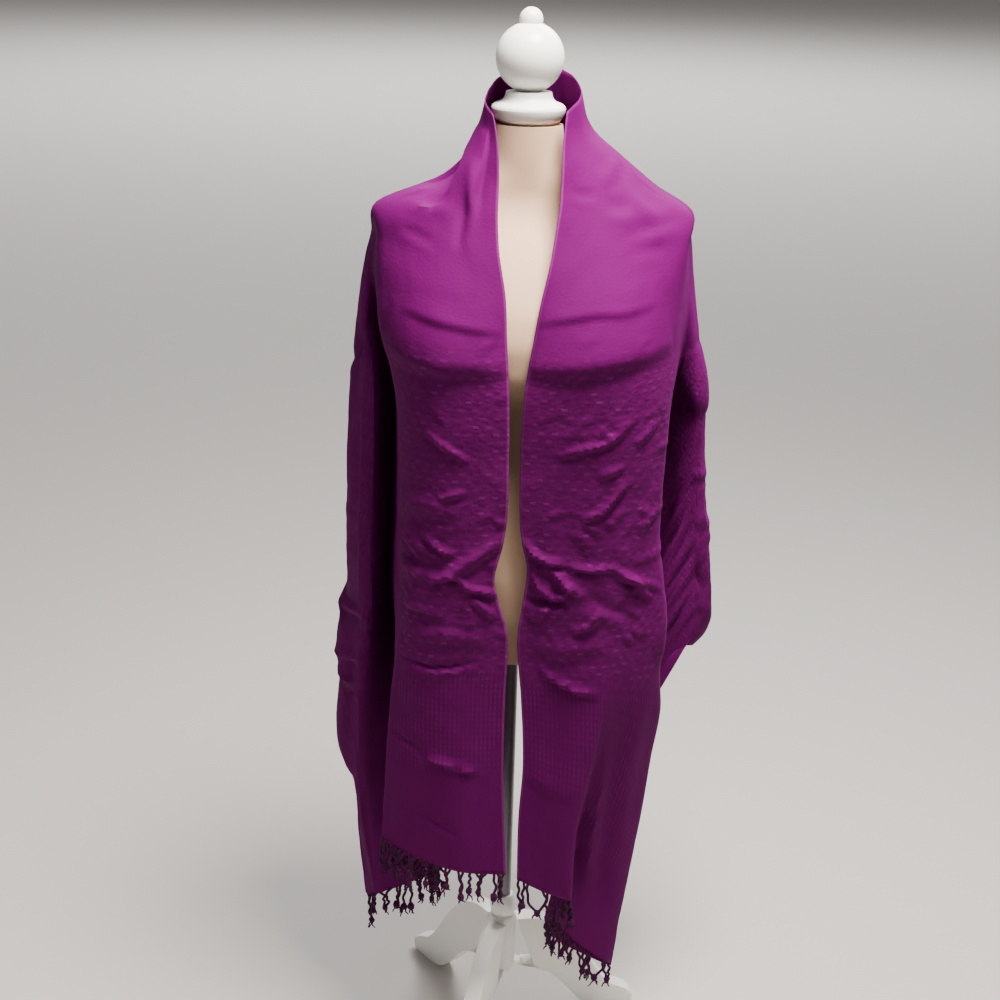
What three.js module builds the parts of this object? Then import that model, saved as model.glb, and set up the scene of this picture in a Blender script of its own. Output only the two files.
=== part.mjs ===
// A pashmina scarf draped over a limbless dress form on a turned pole and a three-legged base.
// Millimetres. +Z is up, -Y is the front, +X is to the right when the front is looked at.
// All sizes are measured from the pole's axis and the floor. The pieces are then moved so that the
// origin is on the floor under the middle of the outline.
import * as THREE from 'three';

// ---------------------------------------------------------------- driving sizes

const WALL = 1.6; // thickness of the folded double yarn cloth
const SEAM_GAP = 0.4; // between neighbouring stretches of the cloth
const FRINGE_REACH = 50; // how far the knotted fringe hangs below the hem
const FRINGE_WALL = 3;
const FRINGE_GAP = 0.6; // vertical gap between the hem and the fringe's solid

const COLLAR_LEVEL = 1200; // above it the rows follow the collar's top edge
const SHOULDER_LEVEL = 1100; // below it the fronts and sides hang free
const LOW_LEVEL = 640; // below it the rows follow the hem and the lower long edge

const PLATE_GAP = 0.3; // between the parts of the stand
const MIDDLE = { x: 14.5, y: -14.8 }; // the middle of the outline, from the pole's axis

const FORM = { bottom: 590, ringSides: 36, neckTop: 1232, neckRadius: 40 };
const CAP = { rimRadius: 43, stemRadius: 27, rimLow: 1236, rimHigh: 1256, stemTop: 1268 };
const FINIAL = { ballRadius: 39, ballCentre: 1305, knobRadius: 13.5, knobCentre: 1346 };
const POLE = { radius: 9.5 };
const HUB = { radius: 18, bottom: 72, top: 196 };
const LEG = { count: 3, thickness: 22, reach: 190, firstAngle: 250, rootLow: 84, rootHigh: 158 };

// ---------------------------------------------------------------- fold lines of the drape

// Each line runs down the cloth from the top edge to its lower end. Columns: z, x, y.
const line = (...rows) => rows.map(([z, x, y]) => ({ z, x, y }));

// Stations across one half, from the front opening round to the middle of the back.
const STATIONS = ['edge', 'crest', 'pleat', 'trough', 'fold', 'valley', 'ridge', 'side', 'quarter'];

const LEFT = {
  edge: line(
    [1245, -40, -38], [1229, -36, -46], [1200, -32, -60], [1166, -31, -72], [1135, -31, -86],
    [1100, -28, -102], [1055, -20, -119], [1005, -17, -132], [950, -13, -139], [860, -11, -136],
    [796, -11, -134], [760, -16, -133], [722, -24, -132], [690, -18, -131], [645, -6, -130],
    [560, -7, -127], [450, -6, -124], [305, 1, -120],
  ),
  crest: line(
    [1251, -45, -29], [1229, -44, -36], [1200, -46, -48], [1166, -55, -62], [1135, -62, -78],
    [1100, -62, -97], [1055, -60, -120], [1005, -58, -137], [950, -56, -143], [860, -54, -141],
    [760, -56, -137], [700, -56, -138], [640, -52, -134], [560, -54, -131], [310, -50, -124],
  ),
  pleat: line(
    [1255, -48, -21], [1229, -50, -26], [1200, -55, -38], [1166, -76, -48], [1135, -96, -64],
    [1100, -103, -82], [1055, -100, -110], [1005, -97, -132], [950, -92, -139], [860, -90, -137],
    [760, -91, -133], [640, -91, -131], [560, -94, -128], [318, -94, -118],
  ),
  trough: line(
    [1259, -49, -12], [1229, -53, -15], [1200, -62, -27], [1166, -92, -33], [1135, -133, -44],
    [1100, -140, -58], [1055, -139, -84], [1005, -136, -106], [950, -124, -118], [860, -120, -118],
    [760, -121, -116], [640, -122, -116], [560, -127, -114], [326, -133, -108],
  ),
  fold: line(
    [1263, -48, -3], [1229, -56, -4], [1200, -68, -15], [1166, -103, -19], [1135, -161, -20],
    [1100, -167, -32], [1055, -167, -48], [1005, -165, -62], [950, -149, -76], [900, -142, -81],
    [760, -140, -84], [640, -142, -85], [533, -150, -86], [400, -157, -86], [334, -161, -88],
  ),
  valley: line(
    [1268, -46, 5], [1229, -56, 6], [1200, -70, -5], [1166, -108, -6], [1135, -171, -3],
    [1100, -173, -8], [1055, -176, -8], [1005, -168, 10], [950, -157, 36], [900, -154, 48],
    [760, -158, 54], [640, -161, 50], [560, -146, 40], [440, -110, 8], [255, -82, -32],
  ),
  ridge: line(
    [1273, -42, 14], [1229, -53, 17], [1200, -70, 8], [1166, -109, 6], [1135, -175, 12],
    [1100, -177, 8], [1055, -184, 4], [1005, -187, -10], [950, -176, -28], [900, -173, -33],
    [760, -174, -34], [640, -177, -31], [560, -182, -26], [450, -184, -20], [340, -183, -16],
    [206, -166, -20],
  ),
  side: line(
    [1280, -35, 27], [1229, -48, 33], [1200, -65, 28], [1166, -102, 32], [1135, -169, 32],
    [1100, -178, 34], [1055, -188, 34], [1005, -195, 32], [950, -201, 31], [860, -207, 30],
    [760, -211, 30], [640, -211, 31], [610, -214, 31], [585, -222, 30], [556, -225, 29],
    [520, -222, 28], [448, -228, 24], [412, -221, 21], [386, -206, 18], [368, -198, 16],
    [290, -196, 10], [222, -191, 6], [190, -187, 4],
  ),
  quarter: line(
    [1287, -21, 42], [1229, -29, 56], [1200, -42, 57], [1166, -71, 66], [1135, -126, 72],
    [1100, -137, 82], [1055, -143, 92], [1005, -147, 100], [950, -151, 103], [860, -155, 104],
    [760, -159, 106], [640, -164, 110], [520, -170, 104],
  ),
};

const RIGHT = {
  edge: line(
    [1250, 43, -36], [1220, 40, -50], [1189, 39, -64], [1157, 38, -77], [1127, 34, -91],
    [1085, 27, -110], [1054, 20, -121], [1005, 12, -133], [950, 4, -139], [860, 2, -136],
    [790, 4, -134], [760, 9, -133], [733, 14, -132], [690, 10, -131], [641, 5, -130],
    [560, 12, -127], [470, 17, -124], [388, 14, -122], [298, 15, -119],
  ),
  crest: line(
    [1256, 50, -27], [1229, 51, -33], [1200, 55, -46], [1166, 62, -60], [1135, 66, -76],
    [1100, 64, -96], [1055, 60, -120], [1005, 56, -137], [950, 52, -144], [860, 50, -141],
    [760, 54, -137], [700, 54, -138], [640, 50, -134], [560, 54, -131], [420, 52, -127],
    [280, 50, -119],
  ),
  pleat: line(
    [1261, 56, -17], [1229, 60, -23], [1200, 70, -34], [1166, 94, -46], [1135, 109, -62],
    [1100, 110, -82], [1055, 106, -110], [1005, 102, -132], [950, 98, -140], [860, 96, -138],
    [760, 100, -134], [640, 102, -132], [540, 104, -130], [460, 99, -127], [400, 90, -123],
    [345, 86, -120], [262, 87, -115],
  ),
  trough: line(
    [1266, 59, -7], [1229, 66, -13], [1200, 86, -22], [1166, 121, -30], [1135, 151, -42],
    [1100, 154, -58], [1055, 148, -86], [1005, 146, -108], [950, 144, -120], [860, 142, -120],
    [760, 146, -116], [640, 150, -116], [560, 138, -116], [500, 120, -112], [430, 104, -100],
    [330, 80, -84], [208, 58, -74],
  ),
  fold: line(
    [1271, 59, 1], [1229, 72, -2], [1200, 99, -8], [1166, 139, -14], [1135, 188, -16],
    [1100, 186, -36], [1055, 181, -50], [1005, 178, -64], [950, 176, -76], [860, 173, -82],
    [783, 172, -84], [744, 174, -85], [679, 184, -86], [626, 188, -84], [580, 185, -76],
    [520, 191, -66], [450, 185, -58], [360, 178, -52], [280, 168, -48], [203, 158, -44],
    [150, 154, -42], [112, 151, -40],
  ),
  valley: line(
    [1276, 57, 9], [1229, 73, 8], [1200, 105, 3], [1166, 148, 0], [1135, 193, 2],
    [1100, 191, -12], [1055, 193, -13], [1005, 195, -10], [955, 192, 2], [905, 184, 32], [860, 180, 46],
    [783, 178, 52], [640, 176, 44], [560, 154, 18], [420, 106, -2], [300, 80, -8], [168, 64, -14],
  ),
  ridge: line(
    [1281, 53, 18], [1229, 72, 19], [1200, 106, 14], [1166, 149, 13], [1135, 196, 18],
    [1100, 194, 8], [1055, 197, 4], [1005, 203, 0], [950, 211, 2], [900, 217, 6],
    [783, 223, 6], [680, 232, 6], [610, 238, 6], [578, 226, 5], [549, 192, 4],
  ),
  side: line(
    [1287, 45, 31], [1229, 61, 35], [1200, 96, 36], [1166, 137, 38], [1135, 186, 40],
    [1100, 194, 38], [1055, 201, 38], [1005, 209, 36], [930, 220, 34], [868, 227, 34],
    [795, 232, 34], [693, 240, 34], [629, 250, 34], [602, 252, 33], [582, 247, 32],
    [566, 235, 30],
  ),
  quarter: line(
    [1293, 27, 46], [1229, 37, 57], [1200, 57, 60], [1166, 88, 70], [1135, 138, 78],
    [1100, 145, 86], [1055, 150, 96], [1005, 155, 102], [950, 159, 105], [860, 165, 107],
    [760, 171, 110], [640, 180, 114], [575, 184, 114],
  ),
};

const SPINE = line(
  [1295, 3, 53], [1229, 3, 66], [1200, 2, 74], [1166, 0, 84], [1135, 0, 92], [1100, 0, 100],
  [1055, 0, 106], [1005, 0, 110], [860, 0, 106], [760, 0, 112], [640, 0, 118], [600, 0, 119],
);

// How round the cloth turns at a station: 0.5 is one long curve, 0.15 is a crisp fold.
const ROUND = {
  edge: 0.5, crest: 0.5, pleat: 0.4, trough: 0.45, fold: 0.26, valley: 0.26, ridge: 0.32,
  side: 0.42, quarter: 0.5, spine: 0.5,
};
const ROUND_HIGH = 0.45; // every station is this round above the shoulders
const ROUND_BLEND = { high: 1110, low: 960 };
const ROUND_CORNER = 0.1; // the side is this crisp where it ends in a corner of the cloth
const CORNER_BLEND = { high: 420, low: 220 };
const TURN_STEPS = [0, 0.5, 1];
const FOLD_STEPS = [0, 0.33, 0.67, 1];

// Rows of the cloth's net: heights between the collar and the low level, and shares outside them.
const COLLAR_SHARES = [0, 0.33, 0.67];
const MIDDLE_ROWS = [
  1200, 1183, 1166, 1150, 1135, 1118, 1100, 1078, 1055, 1030, 1005, 978, 950, 925, 900, 860,
  815, 780, 755, 730, 705, 675, 640,
];
const LOW_SHARES = [0.12, 0.25, 0.38, 0.5, 0.62, 0.74, 0.87, 1];

// ---------------------------------------------------------------- small tools

// A smooth value between the rows of a table, read at height z.
function smooth(rows, z, key) {
  const last = rows.length - 1;
  if (z >= rows[0].z) return rows[0][key];
  if (z <= rows[last].z) return rows[last][key];
  let i = 0;
  while (rows[i + 1].z > z) i += 1;
  const slope = (a, b) => (rows[b][key] - rows[a][key]) / (rows[b].z - rows[a].z);
  const span = rows[i + 1].z - rows[i].z;
  const t = (z - rows[i].z) / span;
  const startSlope = slope(Math.max(i - 1, 0), i + 1) * span;
  const endSlope = slope(i, Math.min(i + 2, last)) * span;
  const start = rows[i][key];
  const end = rows[i + 1][key];
  return (
    (2 * t ** 3 - 3 * t ** 2 + 1) * start + (t ** 3 - 2 * t ** 2 + t) * startSlope
    + (3 * t ** 2 - 2 * t ** 3) * end + (t ** 3 - t ** 2) * endSlope
  );
}

function pointOn(rows, z) {
  return new THREE.Vector3(smooth(rows, z, 'x'), smooth(rows, z, 'y'), z);
}

// A closed mesh from its corners and triangles, turned the right way out.
function closedGeometry(points, faces) {
  const volume = faces.reduce((sum, [a, b, c]) => (
    sum + points[a].dot(new THREE.Vector3().crossVectors(points[b], points[c]))
  ), 0);
  const turned = volume > 0 ? faces : faces.map(([a, b, c]) => [a, c, b]);
  const geometry = new THREE.BufferGeometry();
  geometry.setAttribute(
    'position',
    new THREE.Float32BufferAttribute(points.flatMap((p) => [p.x, p.y, p.z]), 3),
  );
  geometry.setIndex(turned.flat());
  geometry.computeVertexNormals();
  return geometry;
}

function finish(colour, roughness, metalness = 0) {
  return new THREE.MeshStandardMaterial({ color: colour, roughness, metalness });
}

const CLOTH_FINISH = finish(0x6a1a62, 0.75);
const FRINGE_FINISH = finish(0x3b1433, 0.85);
const FORM_FINISH = finish(0xe9e2d2, 0.6);
const WOOD_FINISH = finish(0xf4f3ee, 0.35);
const POLE_FINISH = finish(0x8a878c, 0.4, 0.5);

const model = new THREE.Group();

function add(name, geometry, material) {
  const mesh = new THREE.Mesh(geometry, material);
  mesh.name = name;
  mesh.position.set(-MIDDLE.x, -MIDDLE.y, 0);
  model.add(mesh);
  return mesh;
}

// ---------------------------------------------------------------- the cloth's net

// The height at which a row crosses a line of the drape.
function rowHeight(rows, row) {
  if (row.zone === 'collar') return rows[0].z + row.share * (COLLAR_LEVEL - rows[0].z);
  if (row.zone === 'low') return LOW_LEVEL + row.share * (rows[rows.length - 1].z - LOW_LEVEL);
  return row.z;
}

function roundness(name, z) {
  const { smoothstep, lerp } = THREE.MathUtils;
  const corner = name === 'side' ? smoothstep(z, CORNER_BLEND.low, CORNER_BLEND.high) : 1;
  const free = lerp(ROUND_CORNER, ROUND[name], corner);
  return lerp(free, ROUND_HIGH, smoothstep(z, ROUND_BLEND.low, ROUND_BLEND.high));
}

// The whole width of the drape as one list of lines, from the left opening to the right one.
const ACROSS = [
  ...STATIONS.map((name) => ({ name, half: 'left', rows: LEFT[name] })),
  { name: 'spine', half: 'both', rows: SPINE },
  ...[...STATIONS].reverse().map((name) => ({ name, half: 'right', rows: RIGHT[name] })),
];

// One section of the drape: straight runs joined by round turns that pass close to each line.
function section(row) {
  const marks = ACROSS.map(({ rows }) => pointOn(rows, rowHeight(rows, row)));
  const last = marks.length - 1;
  const controls = marks.map((mark, i) => {
    if (i === 0 || i === last) return mark;
    const half = roundness(ACROSS[i].name, mark.z) / 2;
    const middle = marks[i - 1].clone().add(marks[i + 1]).multiplyScalar(0.5);
    return mark.clone().add(mark.clone().sub(middle).multiplyScalar(half / (1 - half)));
  });
  const points = [controls[0]];
  for (let i = 1; i < last; i += 1) {
    const share = roundness(ACROSS[i].name, marks[i].z);
    const from = controls[i].clone().lerp(controls[i - 1], share);
    const to = controls[i].clone().lerp(controls[i + 1], share);
    const turn = new THREE.QuadraticBezierCurve3(from, controls[i], to);
    turnSteps(ACROSS[i].name).forEach((t) => points.push(turn.getPoint(t)));
  }
  points.push(controls[last]);
  return points;
}

function turnSteps(name) {
  return ['pleat', 'fold', 'valley', 'ridge'].includes(name) ? FOLD_STEPS : TURN_STEPS;
}

const ROWS = [
  ...COLLAR_SHARES.map((share) => ({ zone: 'collar', share })),
  ...MIDDLE_ROWS.map((z) => ({ zone: 'middle', z })),
  ...LOW_SHARES.map((share) => ({ zone: 'low', share })),
];
const NET = ROWS.map(section);
const COLUMNS = NET[0].length;

// The column in the middle of a station's turn.
function columnOf(name, half) {
  const wanted = ACROSS.findIndex((entry) => entry.name === name && entry.half === half);
  if (wanted === 0) return 0;
  if (wanted === ACROSS.length - 1) return COLUMNS - 1;
  let column = 1;
  for (let i = 1; i < wanted; i += 1) column += turnSteps(ACROSS[i].name).length;
  return column + 1;
}

function rowAt(z) {
  return COLLAR_SHARES.length + MIDDLE_ROWS.indexOf(z);
}

function netNormal(row, column) {
  const up = NET[Math.max(row - 1, 0)][column];
  const down = NET[Math.min(row + 1, NET.length - 1)][column];
  const before = NET[row][Math.max(column - 1, 0)];
  const after = NET[row][Math.min(column + 1, COLUMNS - 1)];
  const across = after.clone().sub(before);
  return across.cross(down.clone().sub(up)).normalize();
}

// A wall of the given thickness on a rectangle of rows and columns, drawn in by half a seam gap.
function stretch(rowFrom, rowTo, columnFrom, columnTo, seams) {
  const wide = columnTo - columnFrom + 1;
  const high = rowTo - rowFrom + 1;
  const half = SEAM_GAP / 2;
  const middle = (r, c) => {
    const point = NET[r][c].clone();
    // Moves the point off a seam, square to the seam's own run.
    const pull = (towards, seamBefore, seamAfter) => {
      const run = seamAfter.clone().sub(seamBefore).normalize();
      const way = towards.clone().sub(NET[r][c]);
      point.add(way.addScaledVector(run, -way.dot(run)).setLength(half));
    };
    const up = NET[Math.max(r - 1, 0)][c];
    const down = NET[Math.min(r + 1, NET.length - 1)][c];
    const before = NET[r][Math.max(c - 1, 0)];
    const after = NET[r][Math.min(c + 1, COLUMNS - 1)];
    if (seams.top && r === rowFrom) pull(down, before, after);
    if (seams.bottom && r === rowTo) pull(up, before, after);
    if (seams.start && c === columnFrom) pull(after, up, down);
    if (seams.end && c === columnTo) pull(before, up, down);
    return point;
  };
  const points = [];
  [WALL / 2, -WALL / 2].forEach((offset) => {
    for (let r = rowFrom; r <= rowTo; r += 1) {
      for (let c = columnFrom; c <= columnTo; c += 1) {
        points.push(middle(r, c).addScaledVector(netNormal(r, c), offset));
      }
    }
  });
  return closedGeometry(points, wallFaces(wide, high));
}

// Triangles of a closed wall: two sheets of wide by high points, joined round the rim.
function wallFaces(wide, high) {
  const sheet = wide * high;
  const faces = [];
  for (let r = 0; r < high - 1; r += 1) {
    for (let c = 0; c < wide - 1; c += 1) {
      const a = r * wide + c;
      const b = a + 1;
      const d = a + wide;
      const e = d + 1;
      faces.push([a, d, b], [b, d, e]);
      faces.push([sheet + a, sheet + b, sheet + d], [sheet + b, sheet + e, sheet + d]);
    }
  }
  const rim = [];
  for (let c = 0; c < wide - 1; c += 1) rim.push(c);
  for (let r = 0; r < high - 1; r += 1) rim.push(r * wide + wide - 1);
  for (let c = wide - 1; c > 0; c -= 1) rim.push((high - 1) * wide + c);
  for (let r = high - 1; r > 0; r -= 1) rim.push(r * wide);
  rim.forEach((a, i) => {
    const b = rim[(i + 1) % rim.length];
    faces.push([a, b, sheet + a], [b, sheet + b, sheet + a]);
  });
  return faces;
}

// ---------------------------------------------------------------- the scarf

function addScarf() {
  const last = NET.length - 1;
  const neck = rowAt(COLLAR_LEVEL);
  const shoulder = rowAt(SHOULDER_LEVEL);
  const low = rowAt(LOW_LEVEL);
  add('scarf_collar', stretch(0, neck, 0, COLUMNS - 1, { bottom: true }), CLOTH_FINISH);
  add('scarf_back', stretch(neck, last, columnOf('quarter', 'left'), columnOf('quarter', 'right'),
    { top: true, start: true, end: true }), CLOTH_FINISH);
  ['left', 'right'].forEach((half) => {
    const order = (a, b) => {
      const [from, to] = [columnOf(a, half), columnOf(b, half)];
      return half === 'left' ? [from, to] : [to, from];
    };
    const sides = (outerSeam, innerSeam) => (
      half === 'left' ? { start: outerSeam, end: innerSeam } : { start: innerSeam, end: outerSeam }
    );
    const panel = (name, rows, columns, seams) => {
      add(`scarf_${name}_${half}`, stretch(...rows, ...columns, seams), CLOTH_FINISH);
    };
    panel('shoulder', [neck, shoulder], order('edge', 'quarter'),
      { top: true, bottom: true, ...sides(false, true) });
    panel('front', [shoulder, last], order('edge', 'valley'), { top: true, ...sides(false, true) });
    panel('side', [shoulder, low], order('valley', 'quarter'),
      { top: true, bottom: true, ...sides(true, true) });
    panel('fall', [low, last], order('valley', 'quarter'), { top: true, ...sides(true, true) });
  });
}

// The knotted fringe under a stretch of the hem, as a plain wall of its reach.
function fringe(columnFrom, columnTo) {
  const last = NET.length - 1;
  const wide = columnTo - columnFrom + 1;
  const points = [];
  [FRINGE_WALL / 2, -FRINGE_WALL / 2].forEach((offset) => {
    [FRINGE_GAP, FRINGE_REACH].forEach((drop) => {
      for (let c = columnFrom; c <= columnTo; c += 1) {
        const before = NET[last][Math.max(c - 1, 0)];
        const after = NET[last][Math.min(c + 1, COLUMNS - 1)];
        const outward = new THREE.Vector3(after.y - before.y, before.x - after.x, 0).normalize();
        const point = NET[last][c].clone().addScaledVector(outward, offset);
        point.z -= drop;
        points.push(point);
      }
    });
  });
  return closedGeometry(points, wallFaces(wide, 2));
}

function addFringes() {
  const between = (a, b) => [columnOf(...a) + 1, columnOf(...b) - 1];
  const pieces = {
    fringe_front_left: [0, columnOf('fold', 'left') - 1],
    fringe_inner_left: between(['fold', 'left'], ['valley', 'left']),
    fringe_outer_left: between(['valley', 'left'], ['ridge', 'left']),
    fringe_outer_right: between(['fold', 'right'], ['trough', 'right']),
    fringe_inner_right: between(['trough', 'right'], ['pleat', 'right']),
    fringe_front_right: [columnOf('pleat', 'right') + 1, COLUMNS - 1],
  };
  Object.entries(pieces).forEach(([name, columns]) => {
    add(name, fringe(...columns), FRINGE_FINISH);
  });
}

// ---------------------------------------------------------------- the dress form

// Sections of the torso. Columns: z, half width, front depth, back depth, squareness.
const torsoRow = ([z, half, front, back, square]) => ({ z, half, front, back, square });
const TORSO = [
  [590, 135, 92, 92, 2.3], [600, 138, 98, 97, 2.3], [650, 144, 107, 102, 2.3],
  [710, 143, 108, 100, 2.3], [770, 133, 103, 90, 2.3], [820, 120, 98, 78, 2.2],
  [860, 114, 97, 72, 2.2], [910, 118, 106, 74, 2.2], [960, 128, 124, 80, 2.2],
  [1000, 136, 132.6, 86, 2.2], [1035, 142, 123, 90, 2.2], [1070, 150, 100, 90, 2.3],
  [1100, 162, 76, 84, 2.4], [1118, 169, 58, 74, 2.4], [1130, 166.5, 48, 64, 2.4],
  [1142, 155.5, 43, 56, 2.3], [1154, 132, 40, 52, 2.2], [1166, 98, 40, 50, 2.1],
  [1180, 62, 39, 44, 2], [1194, 45, 39, 41, 2],
].map(torsoRow);

function torsoRing({ z, half, front, back, square }) {
  return Array.from({ length: FORM.ringSides }, (_, i) => {
    const angle = (i / FORM.ringSides) * 2 * Math.PI;
    const bend = (value) => Math.sign(value) * Math.abs(value) ** (2 / square);
    const depth = Math.sin(angle) < 0 ? front : back;
    return new THREE.Vector3(half * bend(Math.cos(angle)), depth * bend(Math.sin(angle)), z);
  });
}

function torsoGeometry() {
  const neck = { half: FORM.neckRadius, front: FORM.neckRadius, back: FORM.neckRadius, square: 2 };
  const rings = [...TORSO, { ...neck, z: FORM.neckTop }].map(torsoRing);
  const sides = FORM.ringSides;
  const points = rings.flat();
  const faces = [];
  for (let r = 0; r < rings.length - 1; r += 1) {
    for (let i = 0; i < sides; i += 1) {
      const a = r * sides + i;
      const b = r * sides + ((i + 1) % sides);
      faces.push([a, b, a + sides], [b, b + sides, a + sides]);
    }
  }
  const top = (rings.length - 1) * sides;
  const lowCentre = points.push(new THREE.Vector3(0, 0, TORSO[0].z)) - 1;
  const highCentre = points.push(new THREE.Vector3(0, 0, FORM.neckTop)) - 1;
  for (let i = 0; i < sides; i += 1) {
    const next = (i + 1) % sides;
    faces.push([lowCentre, next, i], [highCentre, top + i, top + next]);
  }
  return closedGeometry(points, faces);
}

// A turned piece from its profile of [radius, height] pairs, which starts and ends on the axis.
function turned(profile, sides) {
  const geometry = new THREE.LatheGeometry(profile.map(([r, z]) => new THREE.Vector2(r, z)), sides);
  geometry.rotateX(Math.PI / 2);
  return geometry;
}

// Points of a circular arc in a profile, from one angle to another in degrees.
function arc(radius, centre, from, to, steps) {
  return Array.from({ length: steps + 1 }, (_, i) => {
    const angle = THREE.MathUtils.degToRad(from + ((to - from) * i) / steps);
    return [radius * Math.cos(angle), centre + radius * Math.sin(angle)];
  });
}

function capGeometry() {
  const { rimRadius, stemRadius, rimLow, rimHigh, stemTop } = CAP;
  const low = FORM.neckTop + PLATE_GAP;
  return turned([
    [0, low], [rimRadius - 13, low], [rimRadius - 6, rimLow], [rimRadius - 1, rimLow + 8],
    [rimRadius, rimLow + 13], [rimRadius - 2, rimLow + 17], [rimRadius - 8, rimHigh],
    [stemRadius + 2, rimHigh + 3], [stemRadius, stemTop - 4], [stemRadius - 1, stemTop],
    [0, stemTop],
  ], 28);
}

function finialGeometry() {
  const { ballRadius, ballCentre, knobRadius, knobCentre } = FINIAL;
  const foot = CAP.stemTop + PLATE_GAP;
  const start = -THREE.MathUtils.radToDeg(Math.asin((ballCentre - foot) / ballRadius));
  const neck = Math.acos((knobRadius - 4) / ballRadius);
  const ball = arc(ballRadius, ballCentre, start, THREE.MathUtils.radToDeg(neck), 10);
  const knob = arc(knobRadius, knobCentre, -35, 80, 5);
  return turned([[0, foot], ...ball, ...knob, [0, knobCentre + knobRadius]], 28);
}

function poleGeometry() {
  const low = HUB.top + PLATE_GAP;
  const high = FORM.bottom - PLATE_GAP;
  return turned([[0, low], [POLE.radius, low], [POLE.radius, high], [0, high]], 24);
}

function hubGeometry() {
  const { radius, bottom, top } = HUB;
  return turned([
    [0, bottom], [radius - 8, bottom], [radius - 2, bottom + 5], [radius, bottom + 14],
    [radius, top - 34], [radius - 3, top - 30], [radius - 3, top - 26], [radius, top - 20],
    [radius - 1, top - 8], [radius - 5, top], [0, top],
  ], 24);
}

// A leg sawn from board: it leaves the hub level, swings down and ends in a flat foot.
function legGeometry() {
  const { reach, rootLow, rootHigh, thickness } = LEG;
  const root = HUB.radius + PLATE_GAP;
  const shape = new THREE.Shape();
  shape.moveTo(root, rootLow);
  shape.bezierCurveTo(root + 52, rootLow + 6, reach - 96, 24, reach - 66, 6);
  shape.quadraticCurveTo(reach - 58, 0, reach - 46, 0);
  shape.lineTo(reach - 10, 0);
  shape.quadraticCurveTo(reach, 1, reach, 12);
  shape.quadraticCurveTo(reach - 2, 25, reach - 18, 29);
  shape.bezierCurveTo(reach - 62, 40, reach - 78, rootHigh - 10, root + 22, rootHigh);
  shape.lineTo(root, rootHigh);
  shape.closePath();
  const geometry = new THREE.ExtrudeGeometry(shape, {
    depth: thickness, bevelEnabled: false, curveSegments: 8,
  });
  geometry.translate(0, 0, -thickness / 2);
  geometry.rotateX(Math.PI / 2);
  return geometry;
}

function addForm() {
  add('form_torso', torsoGeometry(), FORM_FINISH);
  add('neck_cap', capGeometry(), WOOD_FINISH);
  add('finial', finialGeometry(), WOOD_FINISH);
  add('stand_pole', poleGeometry(), POLE_FINISH);
  add('stand_hub', hubGeometry(), WOOD_FINISH);
  for (let i = 0; i < LEG.count; i += 1) {
    const angle = LEG.firstAngle + (i * 360) / LEG.count;
    const leg = add(`stand_leg_${i + 1}`, legGeometry(), WOOD_FINISH);
    leg.rotation.z = THREE.MathUtils.degToRad(angle);
  }
}

addScarf();
addFringes();
addForm();

export default model;
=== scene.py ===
# %% [markdown]
# # A fringed pashmina on a dress form
# The object is one rectangle of soft cloth, about 0.70 m by 2.20 m, laid round the neck and over
# the shoulders of a torso on a stand. Everything here is built round a frame of plain solids that
# is loaded first. The frame fixes the size and the place of each piece, and this file gives the
# pieces their looks.

import math
import random

import bmesh
import bpy
import numpy as np
from mathutils import Matrix, Vector, noise


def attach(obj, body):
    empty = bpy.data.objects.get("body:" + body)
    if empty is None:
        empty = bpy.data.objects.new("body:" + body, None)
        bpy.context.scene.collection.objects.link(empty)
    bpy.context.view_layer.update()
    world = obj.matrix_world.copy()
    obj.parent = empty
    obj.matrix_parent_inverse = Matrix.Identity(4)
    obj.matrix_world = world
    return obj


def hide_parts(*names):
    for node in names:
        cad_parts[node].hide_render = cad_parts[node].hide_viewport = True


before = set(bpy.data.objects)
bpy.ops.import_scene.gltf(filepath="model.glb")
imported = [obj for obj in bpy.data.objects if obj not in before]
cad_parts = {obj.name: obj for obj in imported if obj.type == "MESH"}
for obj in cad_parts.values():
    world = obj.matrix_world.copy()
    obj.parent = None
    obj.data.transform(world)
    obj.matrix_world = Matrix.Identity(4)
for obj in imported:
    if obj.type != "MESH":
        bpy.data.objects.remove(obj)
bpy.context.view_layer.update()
print("frame nodes:", len(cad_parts))

# %% [markdown]
# Lengths in the tables below are millimetres from the pole's axis and the floor, because a maker
# measures a drape like that. One place turns them into metres and moves them to where the frame
# has the pole.

# %% Units and small helpers
MM = 0.001
POLE_AXIS = np.array([-14.5, 14.8, 0.0])
CRISP = math.radians(40)  # an edge that turns further than this isn't shaded smooth


def place(points):
    """Millimetres from the pole's foot to metres in the frame."""
    return (np.asarray(points, float) + POLE_AXIS) * MM


def new_object(name, shape):
    """Turns a finished bmesh into an object at the origin, smooth but for its crisp edges."""
    for edge in shape.edges:
        edge.smooth = not edge.is_manifold or edge.calc_face_angle() < CRISP
    mesh = bpy.data.meshes.new(name)
    shape.to_mesh(mesh)
    shape.free()
    made = bpy.data.objects.new(name, mesh)
    bpy.context.scene.collection.objects.link(made)
    for face in mesh.polygons:
        face.use_smooth = True
    return made


# %% [markdown]
# ## Materials
# Colours are written as the sRGB hex values that a colour picker shows. Blender's sockets want
# linear light, so one function converts them. A second small function adds a node with its
# settings and links.

# %% Colour and node helpers
MIX_A, MIX_B, MIX_RESULT = 6, 7, 2  # the Mix node's colour sockets, whose names aren't unique


def colour(code):
    """An sRGB hex value as linear RGBA."""
    shares = [int(code[i:i + 2], 16) / 255 for i in (0, 2, 4)]
    linear = [s / 12.92 if s <= 0.04045 else ((s + 0.055) / 1.055) ** 2.4 for s in shares]
    return (*linear, 1.0)


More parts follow.
